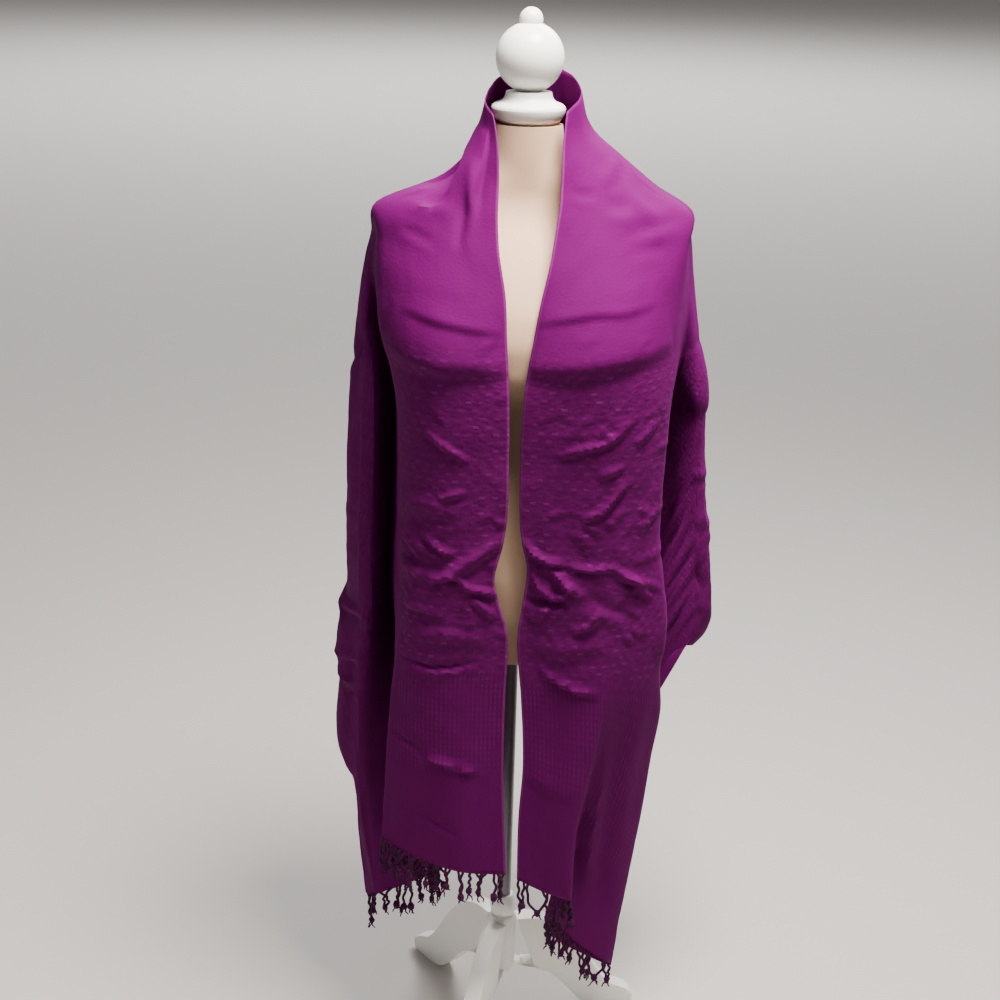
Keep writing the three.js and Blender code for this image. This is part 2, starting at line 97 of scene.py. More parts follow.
def add_node(material, kind, settings=None, links=None):
    """Adds one node. Settings are input values or properties; links are input: output socket."""
    tree = material.node_tree
    made = tree.nodes.new(kind)
    for key, value in (settings or {}).items():
        if isinstance(key, str) and hasattr(made, key) and key not in made.inputs:
            setattr(made, key, value)
        else:
            made.inputs[key].default_value = value
    for key, socket in (links or {}).items():
        tree.links.new(socket, made.inputs[key])
    return made


def new_material(name):
    """An empty node material, its output and nothing else."""
    material = bpy.data.materials.new(name)
    material.use_nodes = True
    material.node_tree.nodes.clear()
    return material


def finish_material(material, shader):
    """Joins a shader to the material's output."""
    add_node(material, "ShaderNodeOutputMaterial", links={"Surface": shader.outputs["BSDF"]})
    return material


# %% [markdown]
# ### The cloth
# A pashmina of this kind is woven from fine wool and viscose yarn. Viscose gives it a soft gloss,
# and the loose fibres on top give a faint halo at grazing angles, which is what the sheen layer is
# for. The loom draws a pattern in bands across each end: a plain band beside the fringe, then a
# band of fine ribs that run along the cloth, then a field of small raised dashes in staggered
# rows, and plain cloth in the middle. Every piece of the pattern follows the cloth's own map: U is
# the distance from the upper long edge and V is the distance from the fringed end, both in metres,
# so that sizes in the nodes are real ones.

# %% Cloth material
RIB_PITCH = 5.5  # mm between the ribs of the ribbed band
RIB_BEAD = 8.0  # mm from stitch to stitch along a rib
DASH_STEP = 15.5  # mm from dash to dash along a row
DASH_ROW = 9.6  # mm from row to row
DASH_LENGTH, DASH_WIDTH = 5.4, 2.2  # mm
PUCKER = 6.0  # mm, the size of the puckers that the double weave draws between the dashes
TWILL_PITCH = 2.6  # mm; real twill lines are 0.6 mm apart, too fine to show, so drawn wider
PLAIN_BAND = (0.135, 0.165)  # where the plain band fades into the ribs, metres from the end
RIB_BAND = (0.255, 0.305)  # where the ribs fade into the dashes
DASH_FIELD = (0.66, 0.72)  # where the dashes fade into plain cloth
RELIEF_UNIT = 0.6  # mm of height that one unit of the reliefs below stands for
RIB_RELIEF, DASH_RELIEF, PUCKER_RELIEF, TWILL_RELIEF, SLUB_RELIEF = 0.55, 0.8, 1.6, 0.1, 0.9
RIB_HIGHLIGHT, DASH_HIGHLIGHT, PUCKER_HIGHLIGHT = 0.16, 0.2, 0.08  # how much the painted highlight lightens the ribs, dashes and puckers
SELVEDGE = (0.0022, 0.0034)  # where the painted highlight along the selvedge fades out, metres from the edge
# how much the painted highlight lightens the selvedge
SELVEDGE_HIGHLIGHT = 0.22
# Noise per metre: ribs and dashes are clear and faint in patches of 33 mm, yarn thickens every
# 4 mm, and the dye comes out in clouds of 140 mm.
PATCH_NOISE, SLUB_NOISE, DYE_NOISE = 30.0, 260.0, 7.0


def cloth_material():
    """The pattern's bands, their relief and their colour, all read from the cloth's own map."""
    made = new_material("woven wool and viscose")
    cloth_map = add_node(made, "ShaderNodeUVMap", {"uv_map": "weave"}).outputs["UV"]
    split = add_node(made, "ShaderNodeSeparateXYZ", links={"Vector": cloth_map})
    across, along = split.outputs["X"], split.outputs["Y"]

    def fade(low, high):
        return add_node(made, "ShaderNodeMapRange",
                        {"interpolation_type": "SMOOTHSTEP", "From Min": low, "From Max": high},
                        {"Value": along}).outputs["Result"]

    def combine(operation, first, second=0.0):
        settings, links = {"operation": operation}, {0: first}
        if isinstance(second, (int, float)):
            settings[1] = second
        else:
            links[1] = second
        return add_node(made, "ShaderNodeMath", settings, links).outputs["Value"]

    in_ribs = combine("SUBTRACT", fade(*PLAIN_BAND), fade(*RIB_BAND))
    in_dashes = combine("SUBTRACT", fade(*RIB_BAND), fade(*DASH_FIELD))

    # Ribs: a wave across the cloth. Their strength wanders, as the yarn's tension does.
    wave = combine("SINE", combine("MULTIPLY", across, 2 * math.pi / (RIB_PITCH * MM)))
    beads = combine("SINE", combine("MULTIPLY", along, 2 * math.pi / (RIB_BEAD * MM)))
    wave = combine("MULTIPLY", wave, combine("ADD", combine("MULTIPLY", beads, 0.35), 0.65))
    patchy = add_node(made, "ShaderNodeTexNoise", {"Scale": PATCH_NOISE, "Detail": 3.0},
                      {"Vector": cloth_map})
    patches = add_node(made, "ShaderNodeMapRange",
                       {"From Min": 0.38, "From Max": 0.66, "To Min": 0.2},
                       {"Value": patchy.outputs["Fac"]}).outputs["Result"]
    ribs = combine("MULTIPLY", combine("MULTIPLY", wave, in_ribs), patches)

    # Dashes: bricks whose mortar is wide, so that only short bars are left, row by row out of step.
    # Mortar is as wide at the ends as along the sides, so the cloth is narrowed first to give the
    # bars their length.
    gap = (DASH_ROW - DASH_WIDTH) / 2
    narrowed = 2 * gap / (DASH_STEP - DASH_LENGTH)
    squeezed = add_node(made, "ShaderNodeVectorMath",
                        {"operation": "MULTIPLY", 1: (narrowed, 1, 1)},
                        {0: cloth_map}).outputs["Vector"]
    bricks = add_node(made, "ShaderNodeTexBrick",
                      {"Scale": 1.0, "Mortar Size": gap * MM, "Mortar Smooth": 0.3,
                       "Brick Width": DASH_STEP * narrowed * MM, "Row Height": DASH_ROW * MM,
                       "Color1": (1, 1, 1, 1), "Color2": (0.1, 0.1, 0.1, 1),
                       "Mortar": (0, 0, 0, 1)},
                      {"Vector": squeezed})
    dashes = combine("MULTIPLY", combine("MULTIPLY", bricks.outputs["Color"], in_dashes), patches)
    puckers = add_node(made, "ShaderNodeTexVoronoi",
                       {"feature": "SMOOTH_F1", "Scale": 1 / (PUCKER * MM)},
                       {"Vector": squeezed}).outputs["Distance"]
    puckers = combine("MULTIPLY", puckers, in_dashes)

    # Twill: fine diagonal lines everywhere, and a slow unevenness of the yarn.
    diagonal = combine("ADD", combine("MULTIPLY", across, 2.0), along)
    twill = combine("SINE", combine("MULTIPLY", diagonal, 2 * math.pi / (TWILL_PITCH * MM)))
    slub = add_node(made, "ShaderNodeTexNoise",
                    {"Scale": SLUB_NOISE, "Detail": 3.0, "Roughness": 0.6},
                    {"Vector": cloth_map})

    height = combine("MULTIPLY", ribs, RIB_RELIEF)
    for relief, amount in ((dashes, DASH_RELIEF), (puckers, -PUCKER_RELIEF), (twill, TWILL_RELIEF),
                           (slub.outputs["Fac"], SLUB_RELIEF)):
        height = combine("ADD", height, combine("MULTIPLY", relief, amount))
    bump = add_node(made, "ShaderNodeBump", {"Strength": 0.7, "Distance": RELIEF_UNIT * MM},
                    {"Height": height})

    # Colour: the ribs, dashes, puckers and selvedge get a painted highlight, and the dye is uneven.
    tone = add_node(made, "ShaderNodeTexNoise", {"Scale": DYE_NOISE, "Detail": 3.0},
                    {"Vector": cloth_map})
    ground = add_node(made, "ShaderNodeMix",
                      {"data_type": "RGBA", MIX_A: colour("520049"), MIX_B: colour("600355")},
                      {0: tone.outputs["Fac"]})
    highlight_mask = add_node(made, "ShaderNodeMapRange",
                      {"From Min": SELVEDGE[0], "From Max": SELVEDGE[1],
                       "To Min": SELVEDGE_HIGHLIGHT, "To Max": 0.0},
                      {"Value": across}).outputs["Result"]
    for yarns, light in ((dashes, DASH_HIGHLIGHT), (ribs, RIB_HIGHLIGHT), (puckers, PUCKER_HIGHLIGHT)):
        highlight_mask = combine("ADD", highlight_mask, combine("MULTIPLY", yarns, light))
    highlight_mask = add_node(made, "ShaderNodeClamp", {}, {"Value": highlight_mask}).outputs["Result"]
    # a04592 is the lighter yarn colour of the painted highlight
    yarn = add_node(made, "ShaderNodeMix", {"data_type": "RGBA", MIX_B: colour("a04592")},
                    {0: highlight_mask, MIX_A: ground.outputs[MIX_RESULT]})
    shader = add_node(made, "ShaderNodeBsdfPrincipled",
                      {"Roughness": 0.68, "Specular IOR Level": 0.05, "Sheen Weight": 0.06,
                       "Sheen Roughness": 0.4, "Sheen Tint": colour("d030c4")},
                      {"Base Color": yarn.outputs[MIX_RESULT], "Normal": bump.outputs["Normal"]})
    return finish_material(made, shader)


wool_and_viscose = cloth_material()
print("nodes of the cloth:", len(wool_and_viscose.node_tree.nodes))

# %% [markdown]
# ### Fringe, form and stand
# The fringe is the same yarn, twisted and knotted, with no gloss. Its colour is darker than the
# cloth's: painted shade for the shade it sits in. The torso has a stretched jersey cover. Cap,
# finial, hub and legs are wood in satin paint.

# %% Other materials
def plain_material(name, code, roughness, specular=0.5, grain=None, sheen=0.0):
    """A painted or twisted finish. Grain is (scale per metre, bump height in mm)."""
    made = new_material(name)
    shader = add_node(made, "ShaderNodeBsdfPrincipled",
                      {"Base Color": colour(code), "Roughness": roughness,
                       "Specular IOR Level": specular, "Sheen Weight": sheen})
    if grain:
        spot = add_node(made, "ShaderNodeTexCoord").outputs["Object"]
        rough = add_node(made, "ShaderNodeTexNoise", {"Scale": grain[0], "Detail": 3.0},
                         {"Vector": spot})
        bump = add_node(made, "ShaderNodeBump", {"Strength": 0.6, "Distance": grain[1] * MM},
                        {"Height": rough.outputs["Fac"]})
        made.node_tree.links.new(bump.outputs["Normal"], shader.inputs["Normal"])
    return finish_material(made, shader)


# the fringe's colour is darker than the cloth's: painted shade
twisted_yarn_and_painted_shade = plain_material("twisted wool yarn", "3c0835", 0.85, 0.12, (900, 0.3), sheen=0.03)
jersey_cover = plain_material(
    "stretched cotton jersey", "d2ad8f", 0.75, 0.25, (700, 0.15), sheen=0.1)
satin_paint = plain_material("white satin paint on wood", "f6f4ec", 0.32, 0.5, (90, 0.12))
# the pole's grey is in part the tube's own enamel and in part painted shade for the deep shade
# behind the cloth
grey_tube_and_painted_shade = plain_material("grey enamel on steel tube", "6f6c72", 0.35)

# %% [markdown]
# ## The drape
# Draped cloth is easiest to copy by its fold lines: the curves along which it turns. Each table
# below is one fold line, from the upper long edge down to the end of the cloth, with the height
# first and then the place across and from front to back. Between two fold lines the cloth runs
# almost straight, and at a fold line it turns, softly at the chest and crisply where it falls off
# the shoulder.

# %% Fold lines of the left half
STATIONS = ["edge", "crest", "pleat", "trough", "fold", "valley", "ridge", "side", "quarter"]

LEFT = {
    "edge": [
        (1245, -40, -38), (1229, -36, -46), (1200, -32, -60), (1166, -31, -72), (1135, -31, -86),
        (1100, -28, -102), (1055, -20, -119), (1005, -17, -132), (950, -13, -139), (860, -11, -136),
        (796, -11, -134), (760, -16, -133), (722, -24, -132), (690, -18, -131), (645, -6, -130),
        (560, -7, -127), (450, -6, -124), (305, 1, -120)],
    "crest": [
        (1251, -45, -29), (1229, -44, -36), (1200, -46, -48), (1166, -55, -62), (1135, -62, -78),
        (1100, -62, -97), (1055, -60, -120), (1005, -58, -137), (950, -56, -143), (860, -54, -141),
        (760, -56, -137), (700, -56, -138), (640, -52, -134), (560, -54, -131), (310, -50, -124)],
    "pleat": [
        (1255, -48, -21), (1229, -50, -26), (1200, -55, -38), (1166, -76, -48), (1135, -96, -64),
        (1100, -103, -82), (1055, -100, -110), (1005, -97, -132), (950, -92, -139),
        (860, -90, -137), (760, -91, -133), (640, -91, -131), (560, -94, -128), (318, -94, -118)],
    "trough": [
        (1259, -49, -12), (1229, -53, -15), (1200, -62, -27), (1166, -92, -33), (1135, -133, -44),
        (1100, -140, -58), (1055, -139, -84), (1005, -136, -106), (950, -124, -118),
        (860, -120, -118), (760, -121, -116), (640, -122, -116), (560, -127, -114),
        (326, -133, -108)],
    "fold": [
        (1263, -48, -3), (1229, -56, -4), (1200, -68, -15), (1166, -103, -19), (1135, -161, -20),
        (1100, -167, -32), (1055, -167, -48), (1005, -165, -62), (950, -149, -76), (900, -142, -81),
        (760, -140, -84), (640, -142, -85), (533, -150, -86), (400, -157, -86), (334, -161, -88)],
    "valley": [
        (1268, -46, 5), (1229, -56, 6), (1200, -70, -5), (1166, -108, -6), (1135, -171, -3),
        (1100, -173, -8), (1055, -176, -8), (1005, -168, 10), (950, -157, 36), (900, -154, 48),
        (760, -158, 54), (640, -161, 50), (560, -146, 40), (440, -110, 8), (255, -82, -32)],
    "ridge": [
        (1273, -42, 14), (1229, -53, 17), (1200, -70, 8), (1166, -109, 6), (1135, -175, 12),
        (1100, -177, 8), (1055, -184, 4), (1005, -187, -10), (950, -176, -28), (900, -173, -33),
        (760, -174, -34), (640, -177, -31), (560, -182, -26), (450, -184, -20), (340, -183, -16),
        (206, -166, -20)],
    "side": [
        (1280, -35, 27), (1229, -48, 33), (1200, -65, 28), (1166, -102, 32), (1135, -169, 32),
        (1100, -178, 34), (1055, -188, 34), (1005, -195, 32), (950, -201, 31), (860, -207, 30),
        (760, -211, 30), (640, -211, 31), (610, -214, 31), (585, -222, 30), (556, -225, 29),
        (520, -222, 28), (448, -228, 24), (412, -221, 21), (386, -206, 18), (368, -198, 16),
        (290, -196, 10), (222, -191, 6), (190, -187, 4)],
    "quarter": [
        (1287, -21, 42), (1229, -29, 56), (1200, -42, 57), (1166, -71, 66), (1135, -126, 72),
        (1100, -137, 82), (1055, -143, 92), (1005, -147, 100), (950, -151, 103), (860, -155, 104),
        (760, -159, 106), (640, -164, 110), (520, -170, 104)],
}

# %% Fold lines of the right half and the middle of the back
RIGHT = {
    "edge": [
        (1250, 43, -36), (1220, 40, -50), (1189, 39, -64), (1157, 38, -77), (1127, 34, -91),
        (1085, 27, -110), (1054, 20, -121), (1005, 12, -133), (950, 4, -139), (860, 2, -136),
        (790, 4, -134), (760, 9, -133), (733, 14, -132), (690, 10, -131), (641, 5, -130),
        (560, 12, -127), (470, 17, -124), (388, 14, -122), (298, 15, -119)],
    "crest": [
        (1256, 50, -27), (1229, 51, -33), (1200, 55, -46), (1166, 62, -60), (1135, 66, -76),
        (1100, 64, -96), (1055, 60, -120), (1005, 56, -137), (950, 52, -144), (860, 50, -141),
        (760, 54, -137), (700, 54, -138), (640, 50, -134), (560, 54, -131), (420, 52, -127),
        (280, 50, -119)],
    "pleat": [
        (1261, 56, -17), (1229, 60, -23), (1200, 70, -34), (1166, 94, -46), (1135, 109, -62),
        (1100, 110, -82), (1055, 106, -110), (1005, 102, -132), (950, 98, -140), (860, 96, -138),
        (760, 100, -134), (640, 102, -132), (540, 104, -130), (460, 99, -127), (400, 90, -123),
        (345, 86, -120), (262, 87, -115)],
    "trough": [
        (1266, 59, -7), (1229, 66, -13), (1200, 86, -22), (1166, 121, -30), (1135, 151, -42),
        (1100, 154, -58), (1055, 148, -86), (1005, 146, -108), (950, 144, -120), (860, 142, -120),
        (760, 146, -116), (640, 150, -116), (560, 138, -116), (500, 120, -112), (430, 104, -100),
        (330, 80, -84), (208, 58, -74)],
    "fold": [
        (1271, 59, 1), (1229, 72, -2), (1200, 99, -8), (1166, 139, -14), (1135, 188, -16),
        (1100, 186, -36), (1055, 181, -50), (1005, 178, -64), (950, 176, -76), (860, 173, -82),
        (783, 172, -84), (744, 174, -85), (679, 184, -86), (626, 188, -84), (580, 185, -76),
        (520, 191, -66), (450, 185, -58), (360, 178, -52), (280, 168, -48), (203, 158, -44),
        (150, 154, -42), (112, 151, -40)],
    "valley": [
        (1276, 57, 9), (1229, 73, 8), (1200, 105, 3), (1166, 148, 0), (1135, 193, 2),
        (1100, 191, -12), (1055, 193, -13), (1005, 195, -10), (955, 192, 2), (905, 184, 32),
        (860, 180, 46), (783, 178, 52), (640, 176, 44), (560, 154, 18), (420, 106, -2),
        (300, 80, -8), (168, 64, -14)],
    "ridge": [
        (1281, 53, 18), (1229, 72, 19), (1200, 106, 14), (1166, 149, 13), (1135, 196, 18),
        (1100, 194, 8), (1055, 197, 4), (1005, 203, 0), (950, 211, 2), (900, 217, 6),
        (783, 223, 6), (680, 232, 6), (610, 238, 6), (578, 226, 5), (549, 192, 4)],
    "side": [
        (1287, 45, 31), (1229, 61, 35), (1200, 96, 36), (1166, 137, 38), (1135, 186, 40),
        (1100, 194, 38), (1055, 201, 38), (1005, 209, 36), (930, 220, 34), (868, 227, 34),
        (795, 232, 34), (693, 240, 34), (629, 250, 34), (602, 252, 33), (582, 247, 32),
        (566, 235, 30)],
    "quarter": [
        (1293, 27, 46), (1229, 37, 57), (1200, 57, 60), (1166, 88, 70), (1135, 138, 78),
        (1100, 145, 86), (1055, 150, 96), (1005, 155, 102), (950, 159, 105), (860, 165, 107),
        (760, 171, 110), (640, 180, 114), (575, 184, 114)],
}

SPINE = [
    (1295, 3, 53), (1229, 3, 66), (1200, 2, 74), (1166, 0, 84), (1135, 0, 92), (1100, 0, 100),
    (1055, 0, 106), (1005, 0, 110), (860, 0, 106), (760, 0, 112), (640, 0, 118), (600, 0, 119)]

LINES = [LEFT[name] for name in STATIONS] + [SPINE] + [RIGHT[name] for name in reversed(STATIONS)]
NAMES = STATIONS + ["spine"] + STATIONS[::-1]
# The fold lines are numbered from the left edge, round the back to the right edge
SPINE_LINE = len(STATIONS)
LAST_LINE = 2 * SPINE_LINE

# %% [markdown]
# A table gives a few points, and the cloth needs hundreds. A cubic curve through the points keeps
# the line smooth. All fold lines are read at the same rows: rows that follow the collar's top
# edge, level rows over the shoulders, and rows that slant little by little to end along the hem.
# The rows lie closest where the small creases are, round the waist.

# %% From tables to rows of cloth
COLLAR_LEVEL = 1200
BUST_LEVEL = 1060
HANG_LEVEL = 1000
COLLAR_ROWS, HANGING_ROWS = 13, 171  # with rows 5.4 and 3.4 mm apart between them
collar_shares = np.linspace(0, 1, COLLAR_ROWS + 1)[:-1]
level_rows = np.concatenate([
    np.arange(COLLAR_LEVEL, BUST_LEVEL, -5.4), np.arange(BUST_LEVEL, HANG_LEVEL, -3.4)])
hanging_shares = np.interp(
    np.arange(HANGING_ROWS), (0, 10, 110, 135, HANGING_ROWS - 1), (0, 0.085, 0.5, 0.68, 1))


def row_heights(rows):
    """The height at which each row of the net crosses this fold line."""
    top, bottom = rows[0][0], rows[-1][0]
    return np.concatenate([
        top + collar_shares * (COLLAR_LEVEL - top), level_rows,
        HANG_LEVEL + hanging_shares * (bottom - HANG_LEVEL)])


def through(rows, heights):
    """Points of the smooth curve through a fold line's rows, at the given heights."""
    table = np.array(rows, float)[::-1]
    z, values = table[:, 0], table[:, 1:]
    last = len(z) - 1
    before = np.maximum(np.arange(last + 1) - 1, 0)
    after = np.minimum(np.arange(last + 1) + 1, last)
    slope = (values[after] - values[before]) / (z[after] - z[before])[:, None]
    at = np.clip(heights, z[0], z[-1])
    i = np.clip(np.searchsorted(z, at, side="right") - 1, 0, last - 1)
    span = (z[i + 1] - z[i])[:, None]
    t = (at - z[i])[:, None] / span
    curve = ((2 * t**3 - 3 * t**2 + 1) * values[i] + (t**3 - 2 * t**2 + t) * span * slope[i]
             + (3 * t**2 - 2 * t**3) * values[i + 1] + (t**3 - t**2) * span * slope[i + 1])
    return np.column_stack([curve, at])


marks = np.stack([through(rows, row_heights(rows)) for rows in LINES], axis=1)
ROW_COUNT = marks.shape[0]
print("rows:", ROW_COUNT, "fold lines:", marks.shape[1])

# %% [markdown]
# Across a row, each turn is a short curve with one control point, and how round it is changes with
# the height: everything is soft over the shoulders, and the hanging folds are crisper. The row is
# then divided between one turn and the next, evenly at the front and closer at the turns
# elsewhere.

# %% Across each row
# How much of the way to its neighbours each turn takes up where the cloth hangs free
ROUND = {"edge": 0.5, "crest": 0.5, "pleat": 0.4, "trough": 0.45, "fold": 0.26, "valley": 0.26,
         "ridge": 0.32, "side": 0.42, "quarter": 0.5, "spine": 0.5}
ROUND_HIGH = 0.45  # how round every turn is over the shoulders
ROUND_CORNER = 0.1  # and where the side flap ends at a hem's outer corner
TURN_POINTS = 13
SPANS = [12, 13, 13, 12, 8, 8, 9, 12, 20]  # columns from one fold line to the next
CROWDING = 0.5  # how much closer the columns lie at the turns of the hanging folds
EVEN_SPANS = 4  # spans from each opening edge whose columns lie evenly
spans = SPANS + SPANS[::-1]


def ease(value, low, high):
    """0 below low, 1 above high and a smooth step between."""
    t = np.clip((value - low) / (high - low), 0, 1)
    return t * t * (3 - 2 * t)


def roundness(name, z):
    """How much of the way to its neighbours a turn takes up at this height."""
    corner = ease(z, 220, 420) if name == "side" else 1.0
    free = ROUND_CORNER + (ROUND[name] - ROUND_CORNER) * corner
    return free + (ROUND_HIGH - free) * ease(z, 960, 1110)


def section(row):
    """One row of the cloth, divided between its turns."""
    last = len(row) - 1
    shares = [float(roundness(NAMES[i], row[i, 2])) for i in range(last + 1)]
    controls = row.copy()
    for i in range(1, last):
        half = shares[i] / 2
        pull = half / (1 - half)
        controls[i] = row[i] + (row[i] - (row[i - 1] + row[i + 1]) / 2) * pull
    line, middles = [controls[0]], [0]
    t = np.linspace(0, 1, TURN_POINTS)[:, None]
    for i in range(1, last):
        start = controls[i] + (controls[i - 1] - controls[i]) * shares[i]
        end = controls[i] + (controls[i + 1] - controls[i]) * shares[i]
        turn = (1 - t) ** 2 * start + 2 * t * (1 - t) * controls[i] + t**2 * end
        middles.append(len(line) + TURN_POINTS // 2)
        line.extend(turn)
    line.append(controls[last])
    middles.append(len(line) - 1)
    line = np.array(line)
    run = np.concatenate([[0], np.cumsum(np.linalg.norm(np.diff(line, axis=0), axis=1))])
    places = [0.0]
    for k, count in enumerate(spans):
        share = np.arange(1, count + 1) / count
        if EVEN_SPANS <= k < len(spans) - EVEN_SPANS:
            share = share - CROWDING * np.sin(2 * np.pi * share) / (2 * np.pi)
        places.extend(run[middles[k]] + share * (run[middles[k + 1]] - run[middles[k]]))
    return np.column_stack([np.interp(places, run, line[:, axis]) for axis in range(3)])


net = np.stack([section(row) for row in marks])
COLUMN_COUNT = net.shape[1]
station = np.concatenate([[0.0]] + [k + np.arange(1, n + 1) / n for k, n in enumerate(spans)])


def column_at(line):
    """The column of the net that lies on a fold line."""
    return int(np.argmin(np.abs(station - line)))


print("net:", ROW_COUNT, "by", COLUMN_COUNT)

# %% [markdown]
# The weave has to know where it is on the cloth. Along the fronts the cloth's length hangs
# straight down, so the distance from the end is measured up the net, and the distance from the
# upper long edge is measured across it. Behind the shoulders the cloth lies the other way: its
# length runs round the back. The two readings are blended over the side flap. The fronts hang a
# little askew, so the rows of the pattern are level from the waist up, and turn to run beside the
# hem lower down.

# %% The cloth's own map
HALF_LENGTH = 1.10  # metres from a fringed end to the middle of the back
step_down = np.linalg.norm(np.diff(net, axis=0), axis=2)
step_across = np.linalg.norm(np.diff(net, axis=1), axis=2)
from_top = np.vstack([np.zeros(COLUMN_COUNT), np.cumsum(step_down, axis=0)])
from_end = from_top[-1] - from_top
run_across = np.hstack([np.zeros((ROW_COUNT, 1)), np.cumsum(step_across, axis=1)])
spine_column = COLUMN_COUNT // 2
from_edge = np.where(
    np.arange(COLUMN_COUNT) <= spine_column, run_across, run_across[:, -1:] - run_across)
from_spine = np.abs(run_across - run_across[:, spine_column:spine_column + 1])


def line_number(name, half):
    """The number of a fold line, as station counts them."""
    number = STATIONS.index(name)
    return number if half == "left" else LAST_LINE - number


ridge_left, ridge_right = line_number("ridge", "left"), line_number("ridge", "right")
on_left, on_right = station < SPINE_LINE, station > SPINE_LINE
front_along = from_end.copy()
level = ease(net[:, :, 2], 330, 620)
for edge, half in ((0, on_left), (COLUMN_COUNT - 1, on_right)):
    for column in np.nonzero(half)[0]:
        at_edge = np.interp(net[:, column, 2], net[::-1, edge, 2], from_end[::-1, edge])
        front_along[:, column] += (at_edge - front_along[:, column]) * level[:, column]
for ridge, beyond in ((ridge_left, (station > ridge_left) & (station <= SPINE_LINE)),
                      (ridge_right, on_right & (station < ridge_right))):
    heights, values = net[::-1, column_at(ridge), 2], front_along[::-1, column_at(ridge)]
    for column in np.nonzero(beyond)[0]:
        front_along[:, column] = np.interp(net[:, column, 2], heights, values)
behind = ease(np.where(on_right, LAST_LINE - station, station), 5.5, 8.0)[None, :]
weave_along = front_along * MM * (1 - behind) + (HALF_LENGTH - from_spine * MM) * behind
weave_across = from_edge * MM * (1 - behind) + from_top * MM * behind
print("cloth over the spine:", round(from_top[-1, spine_column]), "mm; up the opening:",
      round(from_top[-1, 0]), "mm")
